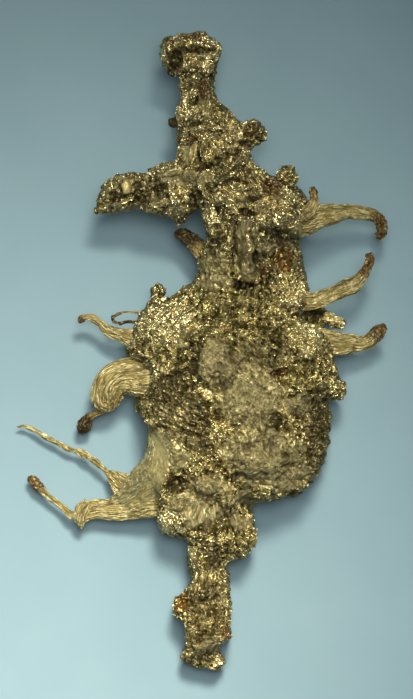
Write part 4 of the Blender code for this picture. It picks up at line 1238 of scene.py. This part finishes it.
# %% Stations of the horns and wires
# Each is its stations (x, y, z, width, thickness), then the ridges round its section, the turns of
# a twist, and the share of its length where a brown tip starts.
HORNS = {
    "horn_right_upper": ([
        (10.2, 14.2, 8.2, 3.3, 2.4), (11.8, 14.5, 8.0, 3.1, 2.1), (13.2, 14.9, 7.6, 2.7, 1.8),
        (14.9, 15.2, 7.0, 2.1, 1.5), (16.5, 15.4, 6.3, 1.65, 1.3), (17.8, 15.3, 5.8, 1.5, 1.2),
        (18.9, 15.1, 5.4, 1.35, 1.1), (19.7, 14.4, 5.0, 1.2, 1.0), (19.9, 13.3, 4.7, 1.1, 1.0),
        (19.6, 12.3, 4.5, 0.8, 0.7),
    ], 6, 0.0, 0.66),
    "horn_right_middle": ([
        (9.4, 5.4, 5.4, 2.2, 2.0), (11.0, 5.5, 5.5, 2.1, 1.8), (12.7, 5.7, 5.5, 1.9, 1.5),
        (14.3, 6.3, 5.6, 1.85, 1.4), (15.7, 6.9, 5.9, 1.85, 1.3), (16.8, 7.4, 6.3, 1.75, 1.2),
        (17.6, 8.1, 6.7, 1.5, 1.1), (18.2, 9.1, 7.0, 1.0, 0.9), (18.6, 10.1, 7.2, 0.95, 0.9),
        (18.4, 10.9, 7.2, 1.1, 0.9),
    ], 6, 0.0, 0.72),
    "horn_right_lower": ([
        (12.2, 1.2, 4.6, 2.9, 2.4), (14.3, 1.0, 4.5, 2.8, 2.2), (15.6, 0.9, 4.4, 2.6, 1.9),
        (16.7, 1.0, 4.2, 2.1, 1.6), (17.6, 0.9, 4.0, 1.75, 1.4), (18.5, 1.2, 4.0, 1.7, 1.3),
        (19.1, 1.7, 4.2, 1.6, 1.3), (19.7, 2.4, 4.6, 1.5, 1.2), (20.3, 2.8, 5.0, 1.0, 0.9),
    ], 6, 0.0, 0.72),
    "ram_horn": ([
        (-4.2, -2.9, 4.6, 4.3, 3.2), (-5.4, -2.8, 4.6, 4.3, 3.1), (-6.6, -2.8, 4.6, 4.2, 3.0),
        (-7.7, -2.6, 4.6, 4.1, 2.8), (-8.7, -2.8, 4.5, 3.9, 2.6), (-9.7, -3.5, 4.4, 3.8, 2.4),
        (-10.1, -4.4, 4.2, 3.7, 2.2), (-10.1, -5.4, 4.0, 3.5, 2.1), (-9.8, -6.5, 3.8, 3.1, 1.7),
    ], 7, 0.0, 1.0),
    "ram_horn_tail": ([
        (-10.2, -5.9, 3.6, 0.9, 0.8), (-11.0, -6.5, 3.2, 0.9, 0.8), (-11.7, -6.9, 2.9, 0.9, 0.8),
        (-12.2, -7.3, 2.6, 1.1, 0.9), (-12.6, -7.9, 2.3, 1.6, 1.3), (-12.8, -8.5, 2.0, 1.5, 1.2),
        (-12.8, -8.9, 1.8, 0.9, 0.8),
    ], 0, 0.0, 0.45),
    "horn_left_lower": ([
        (-3.0, -16.2, 3.8, 3.3, 2.2), (-5.0, -16.4, 3.7, 3.3, 2.1), (-6.2, -16.7, 3.4, 3.1, 1.9),
        (-7.8, -17.1, 2.9, 2.6, 1.5), (-9.9, -17.3, 2.6, 2.3, 1.3), (-11.6, -17.3, 2.5, 2.25, 1.2),
        (-12.5, -17.5, 2.4, 2.2, 1.1), (-13.2, -17.8, 2.3, 2.1, 1.0), (-13.6, -18.1, 2.2, 1.3, 0.8),
    ], 6, 0.0, 1.0),
    "horn_left_tail": ([
        (-13.0, -17.7, 2.2, 0.8, 0.6), (-14.1, -17.9, 2.0, 0.75, 0.6), (-14.9, -17.2, 1.9, 0.75, 0.6),
        (-15.6, -16.6, 1.8, 0.75, 0.6), (-16.5, -16.0, 1.7, 0.75, 0.65), (-17.2, -15.3, 1.7, 0.9, 0.8),
        (-17.8, -14.7, 1.7, 1.1, 0.9), (-18.4, -14.0, 1.6, 1.0, 0.8), (-18.7, -13.5, 1.5, 0.5, 0.4),
    ], 3, 0.6, 0.66),
    "wire_left_long": ([
        (-5.6, -16.4, 3.2, 3.2, 1.2), (-7.2, -15.6, 3.0, 3.2, 1.1), (-8.2, -14.8, 2.7, 3.0, 0.9),
        (-9.0, -14.2, 2.5, 2.2, 0.8), (-9.7, -13.6, 2.3, 1.3, 0.7), (-10.5, -12.9, 2.2, 0.8, 0.6),
        (-11.3, -12.2, 2.1, 0.75, 0.6), (-12.2, -11.5, 2.0, 0.9, 0.65), (-13.4, -10.9, 1.8, 0.75, 0.55),
        (-14.5, -10.6, 1.7, 0.65, 0.5), (-15.4, -10.1, 1.6, 0.75, 0.55), (-17.2, -9.2, 1.5, 0.65, 0.5),
        (-18.2, -8.6, 1.4, 0.6, 0.45), (-19.5, -8.1, 1.3, 0.5, 0.4), (-20.2, -8.2, 1.2, 0.25, 0.25),
    ], 2, 3.0, 1.0),
    "wire_left_upper": ([
        (-5.2, 1.0, 4.2, 3.0, 1.8), (-6.6, 1.3, 4.1, 2.7, 1.6), (-7.7, 1.6, 4.0, 2.0, 1.3),
        (-8.8, 1.9, 3.9, 1.5, 1.1), (-9.7, 2.15, 3.8, 1.35, 1.0), (-10.3, 2.5, 3.8, 1.3, 0.95),
        (-11.0, 3.2, 3.9, 1.2, 0.9), (-11.6, 3.6, 4.0, 1.15, 0.9), (-12.3, 3.85, 4.0, 1.05, 0.8),
        (-13.0, 3.7, 3.9, 1.1, 0.85), (-13.2, 3.1, 3.8, 0.9, 0.7),
    ], 4, 0.3, 0.86),
    "wire_loop": ([
        (-5.4, 3.9, 4.8, 0.36, 0.36), (-7.1, 4.35, 4.8, 0.34, 0.34), (-8.1, 4.4, 4.8, 0.34, 0.34),
        (-8.9, 4.2, 4.8, 0.34, 0.34), (-9.5, 3.85, 4.8, 0.34, 0.34), (-9.5, 3.4, 4.8, 0.34, 0.34),
        (-9.0, 3.2, 4.8, 0.34, 0.34), (-8.0, 3.3, 4.8, 0.34, 0.34), (-7.0, 3.3, 4.8, 0.34, 0.34),
        (-5.4, 3.1, 4.8, 0.36, 0.36),
    ], 0, 0.0, 0.3),
    "neck_spur": ([
        (1.4, 9.4, 5.2, 1.9, 1.4), (0.6, 10.5, 5.2, 2.0, 1.3), (-0.2, 11.5, 5.1, 2.0, 1.2),
        (-1.1, 12.4, 4.9, 1.7, 1.1), (-2.1, 12.95, 4.6, 1.3, 0.95), (-2.9, 12.9, 4.3, 0.9, 0.7),
    ], 5, 0.0, 0.45),
    "stem_spur": ([
        (-0.8, 26.0, 7.4, 1.0, 0.9), (-1.9, 25.8, 7.2, 0.75, 0.7), (-2.5, 25.45, 7.1, 0.95, 0.9),
        (-2.95, 25.1, 7.1, 1.1, 1.0), (-3.35, 24.8, 7.0, 0.8, 0.8),
    ], 0, 0.0, 0.0),
    "shoulder_wire": ([
        (11.2, 14.8, 9.8, 1.6, 1.0), (12.1, 15.7, 10.2, 1.5, 0.9), (12.4, 16.6, 10.3, 1.1, 0.75),
        (12.4, 17.4, 10.2, 0.9, 0.7), (12.2, 18.1, 10.0, 0.8, 0.6),
    ], 0, 0.0, 0.55),
    "web_left": ([
        (-3.2, -7.6, 5.6, 4.0, 3.0), (-3.5, -9.4, 5.6, 4.3, 3.0), (-3.9, -11.6, 5.3, 4.2, 2.9),
        (-4.8, -13.4, 4.7, 4.5, 2.6), (-6.0, -14.9, 4.0, 4.5, 2.2), (-7.5, -16.0, 3.2, 3.6, 1.8),
        (-9.0, -16.8, 2.6, 2.6, 1.4), (-10.4, -17.2, 2.3, 1.8, 1.0),
    ], 4, 0.0, 1.0),
    "horn_left_fold": ([
        (-12.2, -16.5, 2.6, 0.9, 0.8), (-12.8, -17.3, 2.7, 1.5, 0.9), (-13.1, -18.2, 2.6, 1.5, 0.8),
        (-13.1, -19.0, 2.3, 0.9, 0.6), (-13.0, -19.5, 2.0, 0.35, 0.3),
    ], 4, 0.0, 1.0),
}
# A horn that is listed here is rolled about its own line by this many degrees.
ROLLED = {"horn_right_upper": 18, "horn_right_lower": 6}
print("horns and wires:", len(HORNS))

# %% [markdown]
# A horn's section is an oval with ridges. The section is first laid out flat, as two numbers, then
# twisted, and only then set across the line. The two numbers with the distance along the line
# are the horn's straightened space, and they go into the mesh for the material to read.

# %% The horn's surface
HORN_STEP = 0.13
HORN_AROUND = 0.075  # millimetres from one point to the next round the section
MOST_AROUND = 110
RIDGE_DEPTH = 0.04  # of the half width
RIDGE_SWING = (0.5, 2.3)  # radians to either side, and the length of one radian of the swing
STRIA_WIDTH = 0.3  # millimetres from one fold to the next
STRIA_DEPTH = 0.14
STRIA_STRETCH = 0.06
TWIST_FROM = 0.3  # of the length: a wire's root does not twist
FLATNESS = 0.8  # 1 is an oval section, less is nearer to a flat ribbon with rounded edges
HAMMER = ((1.3, 0.1), (0.5, 0.065))  # soft dents, each (size, height)
TIP_GRAIN = (0.36, 0.15)
BROWN_EDGE = 9  # how fast the brown of a tip sets in
ROOT_GRIT = (0.1, 0.25)  # a horn is granular up to the first share of its length, then less


def horn(stations, ridges, turns, brown_from, rolled=0):
    """A finished horn: an oval section that may twist as it goes, with ridges round it, a groove
    wherever the drawn-out noise crosses zero, soft dents, and small grains on a brown tip."""
    along, line = branch_line(stations, HORN_STEP)
    around = int(np.clip(np.pi * line[:, 3].mean() / HORN_AROUND, FEWEST_AROUND, MOST_AROUND))
    angle = angles(around)
    swing = RIDGE_SWING[0] * np.sin(along / RIDGE_SWING[1])[:, None]
    ridge = 1 + RIDGE_DEPTH * np.cos(ridges * (angle + swing)) * (ridges > 0)
    closing = rounded_end(along, 0.6 * line[-1, 3])[:, None]
    circle = np.stack([np.cos(angle), np.sin(angle)])
    across, upward = np.sign(circle) * np.abs(circle) ** FLATNESS
    p = line[:, 3:4] / 2 * across * ridge * closing
    q = line[:, 4:5] / 2 * upward * ridge * closing
    share = along / along[-1]
    twist = (2 * np.pi * turns * np.clip((share - TWIST_FROM) / (1 - TWIST_FROM), 0, 1))[:, None]
    twist = twist + np.radians(rolled)
    p, q = p * np.cos(twist) - q * np.sin(twist), p * np.sin(twist) + q * np.cos(twist)
    grid = swept(line, p, q)
    straight = np.stack([p, q, np.broadcast_to(along[:, None], p.shape)], axis=-1)
    squeezed = straight * (1, 1, STRIA_STRETCH) + (0, 0, len(stations))
    groove = (1 - np.abs(noise(squeezed, STRIA_WIDTH, 3))) ** 5
    brown = np.clip((share[:, None] - brown_from) * BROWN_EDGE + 0.3 * noise(grid, 0.8, 4), 0, 1)
    brown = brown * (brown_from < 1)
    flat, border = grains(grid, TIP_GRAIN[0], 7)
    grit = np.maximum(brown, np.clip(1 - (share[:, None] - ROOT_GRIT[0]) / ROOT_GRIT[1], 0, 1))
    height = TIP_GRAIN[1] * grit * flat - STRIA_DEPTH * groove * (1 - 0.6 * grit)
    for seed, (size, tall) in enumerate(HAMMER):
        height += tall * noise(grid, size, 11 + seed) * np.minimum(1, line[:, 4:5])
    seam = brown * (1 - np.clip(border / SEAM_WIDTH, 0, 1))
    grid = grid + surface_normals(grid) * height[..., None]
    values = {"groove": groove, "brown": brown, "grit": grit, "seam": seam, "straight": straight}
    return shell_of(grid, values)


# %% [markdown]
# The horns are the brightest part of the specimen. Their satin surface is drawn silver with a
# pale gold film, darker in the grooves, and each has a tip of older, browner silver. Streaks run
# along a horn because their noise is read in its straightened space, squeezed lengthwise.

# %% Material: satin wire silver
# Native silver, pushed out of the mass like drawn wire. To the eye it is pale gold with silky
# streaks along the horn, olive between the streaks, and brown at the tips. The film dulls the
# metal, so it is only partly metallic.
STREAKS_PER_MM = 6.0  # coarser than the real ones, so that they show
STREAK_STRETCH = 0.17
STREAK_DEPTH = 0.6  # of the streaks in the relief, next to the flakes
FLAKE_SIZE = 0.24
BLOTCHES_PER_METRE = 900.0
WIRE_METALLIC = 0.4
WIRE_ROUGHNESS = [("streaks", 0.3, 0.7, 0.54, 0.26)]
WIRE_GRIT = [("grit", 0.0, 1.0, 0.55, 1.0)]  # how much of the flakes is in the relief


def wire_coats(pale, olive, brown):
    """The coats from the metal up: streaks, blotches, worn flakes, the brown tip, and dirt."""
    return olive, [
        (pale, [("streaks", 0.44, 0.57, 0.0, 1.0)]),
        ("#bfaa66", [("blotches", 0.4, 0.65, 0.0, 0.7)]),
        (olive, [("flake", 0.2, 0.5, 0.4, 0.0)]),
        (brown, [("brown", *ALL), ("flake", 0.6, 0.75, 1.0, 0.2)]),
        ("#51421c", [("groove", 0.0, 1.0, 0.0, 0.68)]),
        ("#241a0c", [("seam", *ALL)]),
    ]


def wire_silver(name, pale, olive, brown):
    """Numbers of the point first, then the coats, then how the metal reflects, then its relief."""
    material, tree, shader = new_material(name)
    numbers = {
        key: node(tree, "ShaderNodeAttribute", out="Fac", attribute_name=key)
        for key in ("groove", "brown", "grit", "seam")
    }
    straight = node(tree, "ShaderNodeAttribute", out="Vector", attribute_name="straight")
    squeezed = node(
        tree, "ShaderNodeMapping", {"Vector": straight, "Scale": (1.0, 1.0, STREAK_STRETCH)}, 0
    )
    place = node(tree, "ShaderNodeTexCoord", out="Object")
    for key, at, scale in (
        ("streaks", squeezed, STREAKS_PER_MM), ("blotches", place, BLOTCHES_PER_METRE),
    ):
        settings = {"Vector": at, "Scale": scale, "Detail": 3.0}
        numbers[key] = node(tree, "ShaderNodeTexNoise", settings, "Fac")
    flakes = node(tree, "ShaderNodeTexVoronoi", {"Vector": straight, "Scale": 1 / FLAKE_SIZE}, "Color")
    numbers["flake"] = node(tree, "ShaderNodeSeparateColor", {"Color": flakes}, 0)

    colour = coated(tree, numbers, *wire_coats(pale, olive, brown))
    tree.links.new(colour, shader.inputs["Base Color"])
    shader.inputs["Metallic"].default_value = WIRE_METALLIC
    tree.links.new(share_of(tree, numbers, WIRE_ROUGHNESS), shader.inputs["Roughness"])

    drawn_relief = share_of(tree, numbers, [("streaks", 0.0, 1.0, 0.0, STREAK_DEPTH)])
    chips = facets(tree, straight, FLAKE_SIZE)
    relief = node(
        tree, "ShaderNodeMath", {0: chips, 1: share_of(tree, numbers, WIRE_GRIT), 2: drawn_relief}, 0,
        operation="MULTIPLY_ADD",
    )
    bump = {"Height": relief, "Distance": MM, "Strength": 0.9}
    tree.links.new(node(tree, "ShaderNodeBump", bump, "Normal"), shader.inputs["Normal"])
    print(material.name, "has", len(tree.nodes), "nodes")
    return material


striated_silver = wire_silver("satin_wire_silver", "#fff4b6", "#8c7a38", "#94703a")
browned_silver = wire_silver("browned_wire_silver", "#bfa76a", "#7a6838", "#4f4224")
sheet_silver = wire_silver("satin_sheet_silver", "#cdc896", "#8e875a", "#6b5a30")

# %% [markdown]
# The sheet of silver between the two lower left horns is a very broad horn, greyer than the
# others and cleaner in its grooves. The spurs in the neck and on the stem, the loop of hair-fine
# wire and the tail of the broad curl are browner all over.

# %% The horns and wires
BROWNED = ("neck_spur", "stem_spur", "wire_loop", "ram_horn_tail")
WEB_GROOVES = 0.35  # how much the grooves of the web are stained, next to a horn's
for name, shape in HORNS.items():
    shell = horn(*shape, ROLLED.get(name, 0))
    material = browned_silver if name in BROWNED else striated_silver
    if name == "web_left":
        shell.values["groove"] *= WEB_GROOVES
        material = sheet_silver
    replaced = [name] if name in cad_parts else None
    piece(f"{name}_silver", shell, material, replaced, smooth=True)

# %% [markdown]
# The grains of the crust are as fine as its grid. What makes real crystalline silver sparkle is
# finer still: single crystals that stand out of it, each with a few flat faces. Thousands of
# eight-sided crystals are set into the crust, turned every way. Where the surface is dull or
# smooth there are none.

# %% Loose crystals on the crust
CRYSTALS = {"main_mass": 3600, "upper_stem": 900, "lower_stalk": 800, "side_arm": 700}
CRYSTAL_SMALLEST = 0.08  # half size, to which a random length with this spread is added
CRYSTAL_SPREAD = 0.06
CRYSTAL_SUNK = 0.05
SHUNNED = {"dull": 1.0, "satin": 0.9, "olive": 0.6}  # how much a finish keeps crystals away
FEWEST_SHARE = 0.02  # and how likely they are even there
CRYSTAL_BRIGHT = 0.4
OCTAHEDRON = np.array([(1, 0, 0), (-1, 0, 0), (0, 1, 0), (0, -1, 0), (0, 0, 1), (0, 0, -1)], float)
OCTAHEDRON_FACES = np.array(
    [(0, 2, 4), (2, 1, 4), (1, 3, 4), (3, 0, 4), (2, 0, 5), (1, 2, 5), (3, 1, 5), (0, 3, 5)]
)


def crystals(grid, finish, count, seed):
    """Octahedra at chosen points of a crust. Each has three half sizes of its own, is turned by a
    random rotation, and takes the finish of the crust under it."""
    draw = np.random.default_rng(seed)
    normal = surface_normals(grid).reshape(-1, 3)
    points = grid.reshape(-1, 3)
    flat = {name: value.ravel() for name, value in finish.items() if name != "drawn"}
    weight = np.ones(len(points))
    for name, share in SHUNNED.items():
        weight -= share * flat[name]
    weight = np.clip(weight, FEWEST_SHARE, 1) * np.clip(normal[:, 2] + 0.75, 0.05, 1)
    chosen = draw.choice(len(points), count, replace=False, p=weight / weight.sum())
    size = CRYSTAL_SMALLEST + draw.exponential(CRYSTAL_SPREAD, (count, 1, 1)).clip(0, 0.1)
    stretch = draw.uniform(0.6, 1.5, (count, 1, 3))
    turns = np.linalg.qr(draw.normal(size=(count, 3, 3)))[0]
    turns *= np.linalg.det(turns)[:, None, None]
    centres = points[chosen] - normal[chosen] * CRYSTAL_SUNK
    corners = centres[:, None] + (OCTAHEDRON * size * stretch) @ turns
    corners[..., 2] = np.maximum(corners[..., 2], 0)
    faces = OCTAHEDRON_FACES + len(OCTAHEDRON) * np.arange(count)[:, None, None]
    values = {
        name: np.repeat(value[chosen], len(OCTAHEDRON))[:, None] for name, value in flat.items()
    }
    values["seam"] *= 0
    values["bright"] = np.maximum(values["bright"], CRYSTAL_BRIGHT)
    values["drawn"] = corners.reshape(-1, 3)
    return Shell(corners.reshape(-1, 3), faces.reshape(-1, 3), values)


crusts = {
    "lower_stalk": slice(0, cut_foot), "main_mass": slice(cut_foot, cut_top),
    "upper_stem": slice(cut_top, len(trunk)),
}
for seed, (name, count) in enumerate(CRYSTALS.items()):
    if name in crusts:
        rows = crusts[name]
        source = (trunk[rows], {key: value[rows] for key, value in trunk_finish.items()})
    else:
        source = rough_shells[name]
    piece(f"{name}_crystals", crystals(*source, count, seed), crust_material)
